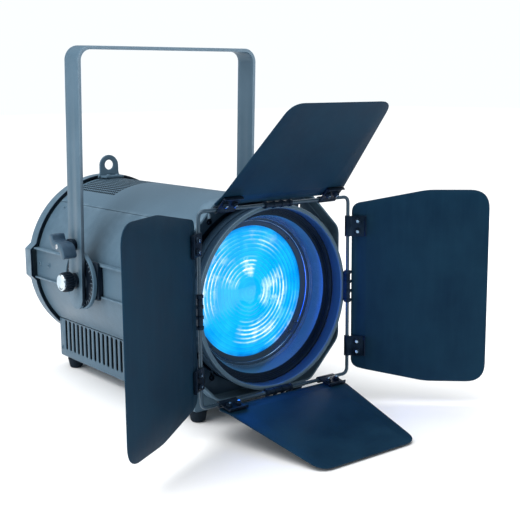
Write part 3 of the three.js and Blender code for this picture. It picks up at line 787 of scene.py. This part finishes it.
def makeLever():
    v = lever
    line = [Vector((v["reach"] * t, v["sway"] * sin(pi * t))) for t in (-1 + k / 12 for k in range(25))]
    sides = ([], [])
    for k, p in enumerate(line):
        way = (line[min(24, k + 1)] - line[max(0, k - 1)]).normalized()
        thick = v["thick"] * (1 - 0.16 * abs(k - 12) / 12)
        for s, side in zip((1, -1), sides):
            side.append(p + Vector((-way.y, way.x)) * thick * s)
    tip = []
    for end, s in ((24, 1), (0, -1)):
        a, b = (sides[0][end], sides[1][end]) if s > 0 else (sides[1][end], sides[0][end])
        middle, half = (a + b) / 2, (a - b) / 2
        outward = Vector((half.y, -half.x))
        tip.append([middle + half * cos(pi * k / 8) + outward * sin(pi * k / 8) * 0.6 for k in range(1, 8)])
    ring = sides[0] + tip[0] + sides[1][::-1] + tip[1]
    turn = radians(v["tilt"])
    ring = [(pivot[0] + p.x * cos(turn) - p.y * sin(turn), yoke["lever"] + p.x * sin(turn) + p.y * cos(turn))
            for p in ring]
    m = Maker(leaning())
    m.panel(ring, (), v["out"], v["in"], 1.1, facing("x"))
    m.mesh.normal_update()
    # the lever's sides take the darker slate as painted shade
    for face in m.mesh.faces:
        if abs(face.normal.x) < 0.5:
            face.material_index = 3
    m.skin = 2
    centre = (0, pivot[0], yoke["lever"])
    boss = [(0, -160), (9, -160), (9, -154.6), (8, -153.4), (8, -150.4), (0, -150.4)]
    m.spin(boss, "x", centre, 40, soft=0.3)
    m.rod("x", centre, 4, -152, -141, 20)
    m.rod("x", centre, 6.4, -144.6, -141, 6, 0.5)
    m.skin = 1
    m.screw("x", (v["out"] + 0.3, pivot[0], yoke["lever"]), 3.4, 1.2, -1)
    m.piece("lockingLever", "lever", "black_plastic", ["tilt_lever"],
            (leverPaint, coats["zinc"], coats["black_plastic"], shadePaint))


makeYoke()
makeLever()
print("yoke and lever")

# base box: slotted sheet folded to a trough, closed at both ends
base = {"half": 95, "fold": 3, "floor": -148, "top": -86.5, "front": 55, "rear": 427, "sheet": 1.6,
        "slots": 26, "pitch": 12.85, "first": 407, "slotWidth": 6.8, "slotLength": 48, "slotZ": -111.7,
        "clear": 117, "screws": (61, 421), "screwZ": -134}
foot = {"x": 82, "y": (67, 403), "wide": 12.5, "narrow": 9.5, "top": -148.3, "bottom": -164}
foam = {"from": 62, "pitch": 7.4, "pleats": 48, "crest": 91.6, "dip": 90.4, "back": 88,
        "low": -137, "high": -88}


def makeBase():
    b = base
    flatHalf = b["half"] - b["fold"]
    bendLength = (b["fold"] - b["sheet"] / 2) * pi / 2
    wall = b["top"] - b["floor"] - b["fold"]
    total = flatHalf + bendLength + wall

    def put(u, v, w):
        side = 1 if u >= 0 else -1
        far = abs(u)
        if far <= flatHalf:
            x, z = far, b["floor"] + w
        elif far <= flatHalf + bendLength:
            a = (far - flatHalf) / bendLength * pi / 2
            r = b["fold"] - w
            x, z = flatHalf + r * sin(a), b["floor"] + b["fold"] - r * cos(a)
        else:
            x, z = b["half"] - w, b["floor"] + b["fold"] + far - flatHalf - bendLength
        return (side * x, v, z)
    middle = flatHalf + bendLength + b["slotZ"] - b["floor"] - b["fold"]
    holes = []
    for k in range(b["slots"]):
        y = b["first"] - k * b["pitch"]
        for s in (-1, 1):
            ring = slotRing(y, s * middle, b["slotWidth"], b["slotLength"])
            holes.append([(q, p) for p, q in ring])
    m = Maker()
    cuts = [("u", s * (flatHalf + bendLength * k / 4)) for k in range(5) for s in (-1, 1)]
    m.panel(rectangle(-total, total, b["front"], b["rear"]), holes, 0, b["sheet"], 0.35, put, cuts)
    inside = b["half"] - b["sheet"] - 0.1
    bottom = b["floor"] + b["sheet"] + 0.1
    clear = b["clear"]
    start = (clear ** 2 - b["top"] ** 2) ** 0.5
    arc = [(x, -(clear ** 2 - x ** 2) ** 0.5) for x in (start - 2 * start * k / 24 for k in range(25))]
    wallRing = rectangle(-inside, inside, bottom, b["top"])
    m.panel([*wallRing[:3], *arc, wallRing[3]], (), b["front"] + 0.2, b["front"] + 1.8, 0.3)
    rows = [slotRing(x, -118, 5, 34) for x in range(-63, 64, 14)]
    m.panel(wallRing, rows, b["rear"] - 1.8, b["rear"] - 0.2, 0.3)
    for s in (-1, 1):
        for y in b["screws"]:
            m.screw("x", (s * (b["half"] - 0.3), y, b["screwZ"]), 3.2, 1.7, s)
    m.piece("baseBox", "housing", "housing_paint", ["base_box"])


def makeVentShades():
    # black foam behind the slots, painted shade so that they read dark, pleated so that it isn't one flat face
    for side, s in leftRight:
        m = Maker()
        ends = (foam["from"], foam["from"] + foam["pleats"] * foam["pitch"])
        ring = [(s * foam["dip" if k % 2 else "crest"], ends[0] + k * foam["pitch"])
                for k in range(foam["pleats"] + 1)]
        ring += [(s * foam["back"], y) for y in reversed(ends)]
        m.panel(ring, (), foam["low"], foam["high"], 0.2, facing("z"))
        m.piece("dustFilter" + side, "housing", "rubber", (), (ventShadeFoam,))


def makeFeet():
    f = foot
    for end, y in zip(("Front", "Rear"), f["y"]):
        for side, s in leftRight:
            m = Maker()
            m.spin([(3.2, f["top"]), (f["wide"], f["top"]), (f["wide"], f["top"] - 2.4),
                    (f["wide"] - 0.5, f["top"] - 3.2), (f["narrow"] + 0.4, f["bottom"] + 1.6),
                    (f["narrow"] - 1, f["bottom"]), (5.4, f["bottom"]), (5, f["bottom"] + 0.5),
                    (5, f["bottom"] + 7), (3.2, f["bottom"] + 7)], "z", (s * f["x"], y, 0), 48, soft=0.4)
            m.skin = 1
            m.screw("z", (s * f["x"], y, f["bottom"] + 7), 4.4, 2.6, -1)
            m.rod("z", (s * f["x"], y, 0), 2.8, f["bottom"] + 7, f["top"] - 0.4, 16)
            name = f"foot_{end.lower()}_{side.lower()}"
            m.piece("foot" + end + side, "housing", "rubber", [name], (coats["rubber"], coats["zinc"]))


makeBase()
makeVentShades()
makeFeet()
print("base and feet")

# front bezel: an eight-sided tray with keyholes in its floor
bezel = {"half": 130, "chamfer": 52, "round": 9, "lip": 25, "floor": 44, "back": 46.5, "opening": 121,
         "keyX": 75, "keyZ": 102}


def octagon(offset):
    h = bezel["half"] - offset
    c = h - (bezel["chamfer"] - 0.586 * offset)
    corners = [(h, -c), (h, c), (c, h), (-c, h), (-h, c), (-h, -c), (-c, -h), (c, -h)]
    return softened(corners, bezel["round"] - offset * 0.4, 4)


def makeBezel():
    b = bezel
    m = Maker()
    wall = [(0, b["back"] - 0.6), (0, b["lip"] + 1), (0.3, b["lip"] + 0.3), (1, b["lip"]), (2.2, b["lip"]),
            (2.8, b["lip"] + 0.3), (3, b["lip"] + 1), (3, b["floor"] - 1.2), (3.4, b["floor"] - 0.3),
            (4.4, b["floor"]), (4.4, b["back"]), (0.6, b["back"])]
    m.loft([[(x, y, z) for x, z in octagon(d)] for d, y in wall], loop=True)
    # the floor of the tray takes the darker slate as painted shade
    m.skin = 2
    keys = []
    for sx in (-1, 1):
        for sz in (-1, 1):
            x, z = sx * b["keyX"], sz * b["keyZ"]
            ring = arcOf(4.4, range(120, 421, 15), x, z)
            ring += [(x + 2.2, z + 9), (x + 1.4, z + 10.4), (x - 1.4, z + 10.4), (x - 2.2, z + 9)]
            keys.append(ring)
    m.panel(octagon(4), [circle(b["opening"], steps=128), *keys], b["floor"], b["back"], 0.3)
    m.skin = 1
    for sx in (-1, 1):
        for sz in (-1, 1):
            x, z = sx * b["keyX"], sz * b["keyZ"]
            m.screw("y", (x, b["back"] - 1.8, z), 3.9, 3.2, -1)
            m.rod("y", (x, 0, z), 2.2, b["back"] - 2, b["back"] + 0.2, 12)
    m.piece("frontBezel", "housing", "housing_paint", ["front_bezel"],
            (coats["housing_paint"], coats["black_metal"], shadePaint))


# nose: outer band, stepped baffle, lens retainer
nose = {"coneFrom": 29.5, "coneTo": 53, "coneRadius": 105, "screwRadius": 92, "wire": 95.9, "wireY": 55.2,
        "wireEnd": 90.5, "wireEndY": 56.2}


def makeNose():
    m = Maker()
    # the holder ring is all darker slate, painted shade
    m.spin([(116.4, 23), (120, 23), (120, 35.5), (116.4, 35.5)], steps=144, soft=0.6)
    m.piece("holderRing", "housing", "housing_paint", ["holder_ring"], (shadePaint,))
    m = Maker()
    # from the mouth inwards: ribbed black step, smooth cone, two grooves at the lens seat
    inner = [(113.6, 23.2), (112.9, 24.8), (111.6, 24.9), (111.5, 26.2), (109.9, 26.3), (109.8, 27.5),
             (107.9, 27.6), (107.8, 28.6), (105.2, 28.8), (104.6, 30), (99.7, 46.4), (100.3, 47), (100.2, 47.9),
             (99.3, 48.3), (99.1, 50), (99.8, 50.5), (99.7, 51.4), (98.8, 51.9), (98.8, 52.6)]
    rest = [(100.9, 52.6), (100.9, 67.3), (96, 67.3), (96, 69.4), (125.6, 69.4), (125.6, 67.2), (116, 67.2),
            (116, 49), (124, 49), (124, 46.9), (116, 46.9), (116, 23.2)]
    m.spin(inner + rest, steps=144, soft=0.18, bend=1)
    # the cone behind the black steps has a smoother, paler coat
    for face in m.mesh.faces:
        middle = face.calc_center_median()
        radius = hypot(middle.x, middle.z)
        if nose["coneFrom"] < middle.y < nose["coneTo"] and radius < nose["coneRadius"]:
            face.material_index = 1
    m.piece("noseBaffle", "housing", "black_metal", ["nose_baffle"], (coats["black_metal"], nosePaint))
    m = Maker()
    # the retainer takes the darker slate as painted shade
    m.spin([(97.4, 53), (100.5, 53), (100.5, 60.4), (88.6, 60.4), (88.6, 58.9), (89.4, 58.3), (94.2, 57.2),
            (95.4, 56), (96.4, 54)], steps=144, soft=0.3)
    for x, z in arcOf(nose["screwRadius"], range(45, 360, 90)):
        m.screw("y", (x, 58.2, z), 2.2, 1.6, -1)
    m.skin = 1
    # sprung wire that holds the lens, open at the lower right with turned-in ends
    path = [(x, nose["wireY"], z) for x, z in arcOf(nose["wire"], range(-34, 319, 3))]
    ends = [(x, nose["wireEndY"], z) for x, z in arcOf(nose["wireEnd"], (-35, -43))]
    m.tube([ends[0], *path, ends[1]], 0.75, 10, False)
    m.piece("lensRetainer", "housing", "black_metal", ["lens_retainer"], (shadePaint, springWire))


# fresnel lens: a central bulge and twelve curved steps
lens = {"radius": 100.4, "bulge": 20.5, "clear": 88, "steps": 12, "back": 67, "rim": 60.9, "root": 60.6,
        "dome": 56.6, "curve": 26}


def makeLens():
    v = lens
    pitch = (v["clear"] - v["bulge"]) / v["steps"]
    profile = [(0, v["back"]), (v["radius"], v["back"]), (v["radius"], v["rim"]), (v["clear"], v["rim"])]
    rise = []
    for k in range(v["steps"]):
        near = v["bulge"] + k * pitch
        slope = 0.55 + 0.45 * k / v["steps"]
        for share in (0.02, 0.3, 0.6, 0.85, 0.97):
            # each step falls away outwards from its sharp inner crest
            rise.append((near + pitch * share, v["root"] - 2.6 * slope * (1 - share ** 1.4)))
    bulge = [(v["bulge"] * sin(radians(a)) / sin(radians(40)), v["dome"] + v["curve"] * (1 - cos(radians(a))))
             for a in range(0, 41, 5)]
    crown = [(r, 56.5 + (t - v["dome"]) * 0.62) for r, t in bulge]
    m = Maker()
    m.spin(profile + rise[::-1] + crown[::-1], steps=160)
    finish = litLens({
        "strength": 1.2, "bulge": v["bulge"], "pitch": pitch, "radius": v["clear"],
        "body": [(0.0, (0.0, 0.36, 0.85)), (0.24, (0.0, 0.42, 0.9)), (0.5, (0.0, 0.4, 0.88)),
                 (0.8, (0.0, 0.36, 0.85)), (0.95, (0.0, 0.3, 0.8)), (1.0, (0.0, 0.1, 0.5))],
        "pale": (0.02, 0.6, 1.0), "deep": (0.0, 0.14, 0.5), "white": (1.2, 1.3, 1.3),
        "arcs": [(162, 46, 58, 86, 1.3), (140, 30, 26, 50, 0.9), (-8, 42, 20, 60, 1.6), (-70, 46, 44, 68, 1.3),
                 (92, 22, 18, 44, 2.0), (-40, 34, 78, 90, 0.8), (70, 30, 60, 80, 0.5)],
    })
    m.piece("fresnelLens", "housing", "lens_glass", ["fresnel_lens"], (finish,), sharp=25)


makeBezel()
makeNose()
makeLens()
print("bezel, nose and lens")

# barn-door ring with its hinge lugs, and the wire square
ring = {"half": 122.5, "sleeve": 3.9, "bore": 2.75, "long": 22, "collars": (-19.5, -6.5, 6.5, 19.5)}
wire = {"radius": 2.4, "bend": 9}


def makeBarnRing():
    m = Maker()
    m.spin([(116.3, 5), (117, 4.4), (119, 4.0), (121, 4.4), (121.6, 5.4), (121.6, 8.6), (120.8, 9.2),
            (118.4, 9.4), (118.4, 22), (117.8, 22.6), (115.9, 22.6), (115.9, 7)], steps=160, soft=0.3)
    m.skin = 1
    for k in range(4):
        # lug plate, sleeve round the wire and its raised collars
        m.turn = Matrix.Rotation(pi / 2 * k, 4, "Y")
        h = ring["half"]
        m.panel(softened(rectangle(-20, 20, h - 4.2, h + 3), 1.5, 3), (), 1.2, 6.4, 0.5)
        sleeve = rectangle(ring["bore"], ring["sleeve"], -ring["long"], ring["long"])
        m.spin(sleeve, "x", (0, 0, h), 28, soft=0.3)
        for c in ring["collars"]:
            m.spin(rectangle(3.7, 4.9, c - 2, c + 2), "x", (0, 0, h), 28, soft=0.4)
            m.panel(softened(rectangle(c - 1.8, c + 1.8, h + 3.4, h + 7.2), 0.6, 2), (), -1.6, 1.6, 0.4)
    # faces behind the front lip take the darker slate as painted shade
    for face in m.mesh.faces:
        if face.material_index == 0 and face.calc_center_median().y > 6.5:
            face.material_index = 2
    m.piece("barnRing", "barn_door", "housing_paint", ["barn_ring"],
            (coats["housing_paint"], coats["black_metal"], shadePaint))


def makeWire():
    corners = [(ring["half"] * x, ring["half"] * z) for x, z in ((1, -1), (1, 1), (-1, 1), (-1, -1))]
    path = softened(corners, wire["bend"], 8)
    m = Maker()
    m.tube([(x, 0, z) for x, z in path], wire["radius"], 20)
    for x in (-34, -28):
        # the butt weld of the wire shows as a low bead
        bead = [(2.3, x + 1), (2.75, x + 2), (2.9, x + 3), (2.75, x + 4), (2.3, x + 5)]
        m.spin(bead, "x", (0, 0, -ring["half"]), 24)
    m.piece("wireSquare", "barn_door", "housing_paint", ["wire_frame"], (wirePaint,))


# leaves with their clips
leaves = {"top": (44, "narrow"), "bottom": (77.5, "narrow"), "left": (30.3, "wide"), "right": (43, "wide")}
leaf = {"thick": 1.5, "fold": 25, "joggle": 3.2,
        "wide": [(5.2, -113, 12), (106, -132, 10), (188, -132, 26), (188, 132, 26), (106, 132, 10),
                 (5.2, 113, 12)],
        "narrow": [(5.2, -102, 6), (178, -78, 18), (178, 78, 18), (5.2, 102, 6)], "edge": 5.2, "stud": 2.4}
clip = {"at": 83, "half": 14, "bridgeHalf": 13.8, "studU": 13, "studV": 7, "outer": 4.25, "inner": 2.75}
outward = {"top": (0, 0, 1), "bottom": (0, 0, -1), "left": (-1, 0, 0), "right": (1, 0, 0)}
across = {"top": (-1, 0, 0), "bottom": (1, 0, 0), "left": (0, 0, -1), "right": (0, 0, 1)}


def leafPlace(name):
    # u runs out from the hinge, v along it, w towards the face that meets the beam
    a = radians(leaves[name][0])
    o = Vector(outward[name])
    u = o * cos(a) + Vector((0, -sin(a), 0))
    w = -o * sin(a) + Vector((0, -cos(a), 0))
    place = Matrix.Identity(4)
    for column, way in enumerate((u, Vector(across[name]), w, o * ring["half"])):
        for row in range(3):
            place[row][column] = way[row]
    return place


def makeLeaf(name):
    shape = softened(leaf[leaves[name][1]], 6, 8)
    body = "leaf_" + name
    m = Maker(leafPlace(name))
    f = leaf["fold"]

    def put(u, v, w):
        # the strip along the hinge is set back, so the sheet has a crease where it meets the rest
        back = leaf["joggle"] * max(0.0, min(1.0, (f - u) / (f - leaf["edge"])))
        return (u, v, w - back)

    studs = (-clip["studV"], clip["studV"])
    holes = [circle(leaf["stud"], clip["studU"], s * clip["at"] + d, 12) for s in (-1, 1) for d in studs]
    creases = [("u", u) for u in (f, f - 1.2, f + 1.2)]
    m.panel(shape, holes, -leaf["thick"] / 2, leaf["thick"] / 2, 0.45, put, creases)
    title = name.capitalize()
    m.piece("leaf" + title, body, "leaf_paint", [body])
    for mark, v in (("A", -clip["at"]), ("B", clip["at"])):
        m = Maker(leafPlace(name))
        # a strip of sheet curled round the wire and laid on the leaf, with a stiff outer lip
        curl = arcOf(clip["outer"], range(16, 331, 15)) + arcOf(clip["inner"], range(330, 19, -15))
        band = softened(curl, 0.3, 1)
        strap = softened([(5.4, 3.0), (22.4, 3.0), (23.4, 3.9), (23.4, 6.3), (24.9, 6.3), (24.9, 2.2),
                          (23.8, 1.15), (5, 1.15)], 0.5, 3)
        bridge = softened([(2.9, 1.2), (6.4, 1.3), (6.4, 2.9), (2.2, 3.4)], 0.3, 2)
        for outline, half, edge in ((band, clip["half"], 0.3), (strap, clip["half"], 0.35),
                                    (bridge, clip["bridgeHalf"], 0.2)):
            m.panel(outline, (), v - half, v + half, edge, facing("y"))
        for d in studs:
            spot = (clip["studU"], v + d, 0)
            m.skin = 2
            m.spin(rectangle(2, 4.9, 2.9, 3.6), "z", spot, 28, soft=0.2)
            m.skin = 0
            m.spin([(2, 3.5), (3.7, 3.5), (4.15, 3.9), (4.15, 6.0), (3.7, 6.4), (2.9, 6.5), (2.9, 7.2),
                    (2, 7.3)], "z", spot, 6, soft=0.15, bend=1)
            m.skin = 1
            m.spin([(0, 2), (1.9, 2), (1.9, 8.1), (1.6, 8.4), (0, 8.4)], "z", spot, 20)
            for k in range(3):
                m.spin([(1.8, 7.3 + k * 0.32), (2.15, 7.45 + k * 0.32), (1.8, 7.6 + k * 0.32)], "z", spot, 20)
            m.skin = 0
            m.screw("z", (clip["studU"], v + d, -leaf["thick"] / 2 - 1.15), 3.8, 1.9, -1)
        m.piece("clip" + title + mark, body, "black_metal", [f"clip_{name}_{mark.lower()}"],
                (coats["black_metal"], springWire, coats["black_metal"]))


makeBarnRing()
makeWire()
for name in leaves:
    makeLeaf(name)
print("ring, wire and leaves")

# rear cap and what it carries
cap = {"radius": 133.4, "front": 428, "rear": 449, "opening": 112, "bumpX": 139, "bumpZ": 28.5, "slope": 8,
       "screwRadius": 122}


def makeRearCap():
    c = cap
    z0, z1 = rail["z"] - c["bumpZ"], rail["z"] + c["bumpZ"]

    def outline(grow):
        r, x, a, b = c["radius"] + grow, c["bumpX"] + grow, z0 - grow * 0.5, z1 + grow * 0.5
        top = atan2(b, (r * r - b * b) ** 0.5)
        under = atan2(a, (r * r - a * a) ** 0.5)
        steps = 60

        def sweep(start, span):
            turns = [start + span * k / steps for k in range(steps + 1)]
            return [(r * cos(t), r * sin(t)) for t in turns]

        return [(x, a + c["slope"]), (x, b - c["slope"]), *sweep(top, pi - 2 * top),
                (-x, b - c["slope"]), (-x, a + c["slope"]), *sweep(pi - under, pi + 2 * under)]

    levels = [(-0.5, c["front"]), (0, c["front"] + 0.5), (0, c["rear"] - 3), (-0.4, c["rear"] - 1.4),
              (-1.4, c["rear"] - 0.4), (-3, c["rear"])]
    rings = [[(x, y, z) for x, z in outline(d)] for d, y in levels]
    mouth = ((c["opening"] + 0.5, c["rear"]), (c["opening"], c["rear"] - 0.5), (c["opening"], c["rear"] - 3))
    for r, y in mouth:
        rings.append([(r * cos(atan2(z, x)), y, r * sin(atan2(z, x))) for x, z in outline(0)])
    for d, y in ((-3, c["rear"] - 3), (-3, c["front"])):
        rings.append([(x, y, z) for x, z in outline(d)])
    m = Maker()
    m.loft(rings, loop=True)
    for face in m.mesh.faces:
        # the front-facing step between the cap and the skins, painted black as shade
        if face.calc_center_median().y < c["front"] + 0.3:
            face.material_index = 1
    for x, z in arcOf(c["screwRadius"], range(30, 360, 60)):
        m.screw("y", (x, c["rear"] - 0.4, z), 3.6, 0.4, 1)
    m.piece("rearCap", "housing", "housing_paint", ["rear_cap"],
            (coats["housing_paint"], coats["black_plastic"]), sharp=30)


back = {"radius": 118, "in": 443.4, "out": 445.6, "screwRadius": 104, "buttonsX": (-24, -8, 8, 24),
        "buttonZ": 26, "socketsX": (-42, 42), "seat": 445.9}


def makeRearPanel():
    m = Maker()
    holes = [circle(2.4, x, back["buttonZ"], 16) for x in back["buttonsX"]]
    holes += [circle(radius, x, z, 32) for radius, z in ((11, -14), (12, -56)) for x in back["socketsX"]]
    holes += [slotRing(k * 9, -92, 4, 20) for k in range(-4, 5)]
    m.panel(circle(back["radius"], steps=120), holes, back["in"], back["out"], 0.3)
    for x, z in arcOf(back["screwRadius"], (45 * k + 22.5 for k in range(8))):
        m.screw("y", (x, 445.5, z), 3.2, 1.8, 1)
    m.skin = 1
    for x in back["buttonsX"]:
        # plain ring round each button
        m.spin(rectangle(7, 8.1, 445.5, 445.95), "y", (x, 0, back["buttonZ"]), 36, soft=0.1)
    m.piece("rearPanel", "housing", "black_metal", ["rear_panel"], (coats["black_metal"], tickPaint))


def makeDisplay():
    screen = Finish("screenGlass", {"Roughness": 0.08, "Coat Weight": 1.0, "Coat Roughness": 0.03,
                                    "Emission Strength": 0.6})
    dots = screen.node("ShaderNodeTexChecker", None, {
        "Vector": screen.place, "Scale": 1.4, "Color1": (0.0, 0.012, 0.03, 1), "Color2": (0.0, 0.02, 0.05, 1)})
    screen.feed("Base Color", screen.mix(screen.noise(0.05, 4.0), (0.002, 0.004, 0.008), (0.008, 0.014, 0.02)))
    screen.feed("Emission Color", dots)
    m = Maker()
    m.panel(softened(rectangle(-32, 32, 40, 72), 3.5, 4), [softened(rectangle(-26, 26, 45, 67), 1.5, 3)],
            back["seat"], 449, 0.6)
    m.skin = 1
    m.panel(softened(rectangle(-26.4, 26.4, 44.6, 67.4), 1.2, 3), (), 446.2, 447.6, 0.2)
    m.piece("display", "housing", "black_plastic", ["display"], (coats["black_plastic"], screen.material))
    for k, x in enumerate(back["buttonsX"]):
        m = Maker()
        m.spin([(0, 439), (1.9, 439), (1.9, 447.4), (5.2, 447.4), (5.2, 450.6), (4.7, 451.2), (3.4, 451.5),
                (0, 451.2)], "y", (x, 0, back["buttonZ"]), 40, soft=0.25)
        m.piece(f"menuButton{k + 1}", f"button_{k + 1}", "rubber", [f"menu_button_{k + 1}"])


def makeSockets():
    for name, z, tall, shellR, bore, face, pins in (
            ("powerSockets", -56, 33, 11.7, 9.4, 449.2, ((-3.8, 0), (3.8, 0), (0, -4.4))),
            ("dataSockets", -14, 30, 10.7, 8.6, 448.6, ((-3.2, 2.4), (3.2, 2.4), (-2, -2.6), (2, -2.6), (0, 4)))):
        m = Maker()
        plate = softened(rectangle(-59, 59, z - tall / 2, z + tall / 2), 5, 4)
        m.panel(plate, [circle(bore, x, z, 40) for x in back["socketsX"]], back["seat"], face, 0.5)
        shell = [(bore, 433), (bore, 446.5), (shellR, 446.5), (shellR, 425), (0, 425), (0, 433)]
        collar = [(bore + 0.4, face - 0.1), (bore + 2.6, face - 0.1), (bore + 2.4, face + 0.5),
                  (bore + 0.6, face + 0.5)]
        for x in back["socketsX"]:
            m.spin(shell, "y", (x, 0, z), 40)
            m.spin(collar, "y", (x, 0, z), 48, soft=0.15)
        for x in (-54, -30, 30, 54):
            m.screw("y", (x, face - 0.2, z + (tall / 2 - 4) * (1 if abs(x) > 40 else -1)), 2.3, 1.3, 1)
        m.skin = 1
        for x in back["socketsX"]:
            for dx, dz in pins:
                m.rod("y", (x + dx, 0, z + dz), 1.0, 432.8, 442, 12)
        m.skin = 2
        for x in back["socketsX"]:
            latch = rectangle(x - 3, x + 3, z + bore + 0.2, z + bore + 4.4)
            m.panel(softened(latch, 0.8, 2), (), face - 0.2, face + 1.0, 0.3)
        m.piece(name, "housing", "black_plastic", [name.replace("Sockets", "_sockets")],
                (coats["black_plastic"], goldPin, coats["zinc"]))


# safety eye: folded sheet with a cable hole
eye = {"half": 16.5, "foot": 128.7, "hole": 7.8, "holeZ": 148.5, "front": 421.6, "rear": 425.2}


def makeEye():
    e = eye
    arch = [(e["half"] * cos(pi * k / 24), 147.5 + e["half"] * sin(pi * k / 24)) for k in range(25)]
    flare = [(-16.6, 138), (-17.2, 134), (-19.5, 131.2), (-19.5, e["foot"])]
    flare += [(-x, z) for x, z in reversed(flare)]
    m = Maker()
    m.panel(arch + flare, [circle(e["hole"], 0, e["holeZ"], 36)], e["front"], e["rear"], 0.7)
    m.panel(softened(rectangle(-16.5, 16.5, 404, 424), 3, 4), (), e["foot"], 132.2, 0.5, facing("z"))
    for x in (-8, 8):
        m.screw("z", (x, 412, 132), 3.4, 2.2, 1)
    m.piece("safetyEye", "housing", "housing_paint", ["safety_eye"])


makeRearCap()
makeRearPanel()
makeDisplay()
makeSockets()
makeEye()
print("rear cap, panel and eye")

# inner works keep their solids and take their finishes
slotOf = {s["node"]: s["material_slot"] for s in frame["record"]["subparts"]}
for name, node in frame["nodes"].items():
    if node.hide_render:
        continue
    node.data.materials.clear()
    node.data.materials.append(coats.get(slotOf[name], coats["zinc"]))
    node.data.shade_smooth()
    node.data.set_sharp_from_angle(angle=radians(35))
print("inner works", sum(not n.hide_render for n in frame["nodes"].values()))

# floor, light and camera
studio = {"floor": (0.93, 0.93, 0.93), "sky": (0.93, 0.97, 1.0), "backdrop": 1.05, "fill": 0.4, "sun": 2.8}


def makeStudio():
    f = Finish("paleFloor", {"Roughness": 0.75, "Specular IOR Level": 0.2})
    cloud = f.noise(0.004, 3.0)
    f.feed("Base Color", f.mix(cloud, studio["floor"], tuple(c * 1.02 for c in studio["floor"])))
    f.bump(f.noise(0.4, 2.0), 0.00005)
    floorMesh = bpy.data.meshes.new("floor")
    reach = 14
    floorMesh.from_pydata([(x, y, 0) for x, y in rectangle(-reach, reach, -reach, reach)], [], [(0, 1, 2, 3)])
    floorMesh.materials.append(f.material)
    floorThing = bpy.data.objects.new("floor", floorMesh)
    bpy.context.scene.collection.objects.link(floorThing)
    floorThing.location.z = -0.0005
    world = bpy.data.worlds.new("studio")
    world.use_nodes = True
    sky = world.node_tree.nodes["Background"]
    sky.inputs["Color"].default_value = (*studio["sky"], 1)
    # the backdrop reads white while the fill from it stays low
    path = world.node_tree.nodes.new("ShaderNodeLightPath")
    share = world.node_tree.nodes.new("ShaderNodeMapRange")
    share.inputs["To Min"].default_value = studio["fill"]
    share.inputs["To Max"].default_value = studio["backdrop"]
    world.node_tree.links.new(path.outputs["Is Camera Ray"], share.inputs["Value"])
    world.node_tree.links.new(share.outputs[0], sky.inputs["Strength"])
    bpy.context.scene.world = world


def addLight(name, spot, aim, size, power, colour=(1, 1, 1), shape="RECTANGLE"):
    lamp = bpy.data.lights.new(name, "AREA")
    lamp.shape = shape
    lamp.size = size[0]
    if shape == "RECTANGLE":
        lamp.size_y = size[1]
    lamp.energy = power
    lamp.color = colour
    thing = bpy.data.objects.new(name, lamp)
    thing.location = spot
    thing.rotation_euler = (Vector(aim) - Vector(spot)).to_track_quat("-Z", "Y").to_euler()
    thing.visible_camera = False
    bpy.context.scene.collection.objects.link(thing)
    return thing


def makeLights():
    middle = Vector((0, 0, 0.2))
    addLight("keySoft", (-2.0, 0.1, 1.3), middle, (2.6, 2.6), 32)
    addLight("frontSoft", (0.5, -1.7, 1.9), middle, (1.0, 1.2), 7)
    addLight("rimSoft", (1.9, 0.8, 1.2), middle, (0.6, 1.4), 10)
    sun = bpy.data.lights.new("overhead", "SUN")
    sun.energy = studio["sun"]
    sun.angle = radians(60)
    above = bpy.data.objects.new("overhead", sun)
    above.rotation_euler = (radians(-6), radians(-14), 0)
    bpy.context.scene.collection.objects.link(above)
    glow = beam + Vector((0, 0.055, 0))
    addLight("lensGlow", glow, glow + Vector((0.5, -1, 0.15)), (0.16, 0.16), 0.5, (0.0, 0.14, 1.0), "DISK")


view = {"turn": (-0.667541, 0.172804, -0.008183), "spot": (-0.797334, -0.974974, 0.270187),
        "focal": 998.234, "frame": 520, "sensor": 36}


def makeCamera():
    # stands front left of the light and a little above the beam
    yaw, pitch, roll = view["turn"]
    spot = beam + Vector(view["spot"])
    ahead = Vector((-sin(yaw) * cos(pitch), cos(yaw) * cos(pitch), -sin(pitch)))
    right = ahead.cross(Vector((0, 0, 1))).normalized()
    up = right.cross(ahead)
    right, up = right * cos(roll) + up * sin(roll), up * cos(roll) - right * sin(roll)
    data = bpy.data.cameras.new("camera")
    data.sensor_width = view["sensor"]
    data.lens = view["focal"] / view["frame"] * view["sensor"]
    data.clip_start = 0.02
    data.clip_end = 60
    thing = bpy.data.objects.new("camera", data)
    thing.matrix_world = Matrix((
        (right.x, up.x, -ahead.x, spot.x), (right.y, up.y, -ahead.y, spot.y),
        (right.z, up.z, -ahead.z, spot.z), (0, 0, 0, 1)))
    bpy.context.scene.collection.objects.link(thing)
    bpy.context.scene.camera = thing


makeStudio()
makeLights()
makeCamera()
bpy.context.scene.view_settings.view_transform = "Standard"
print("studio")
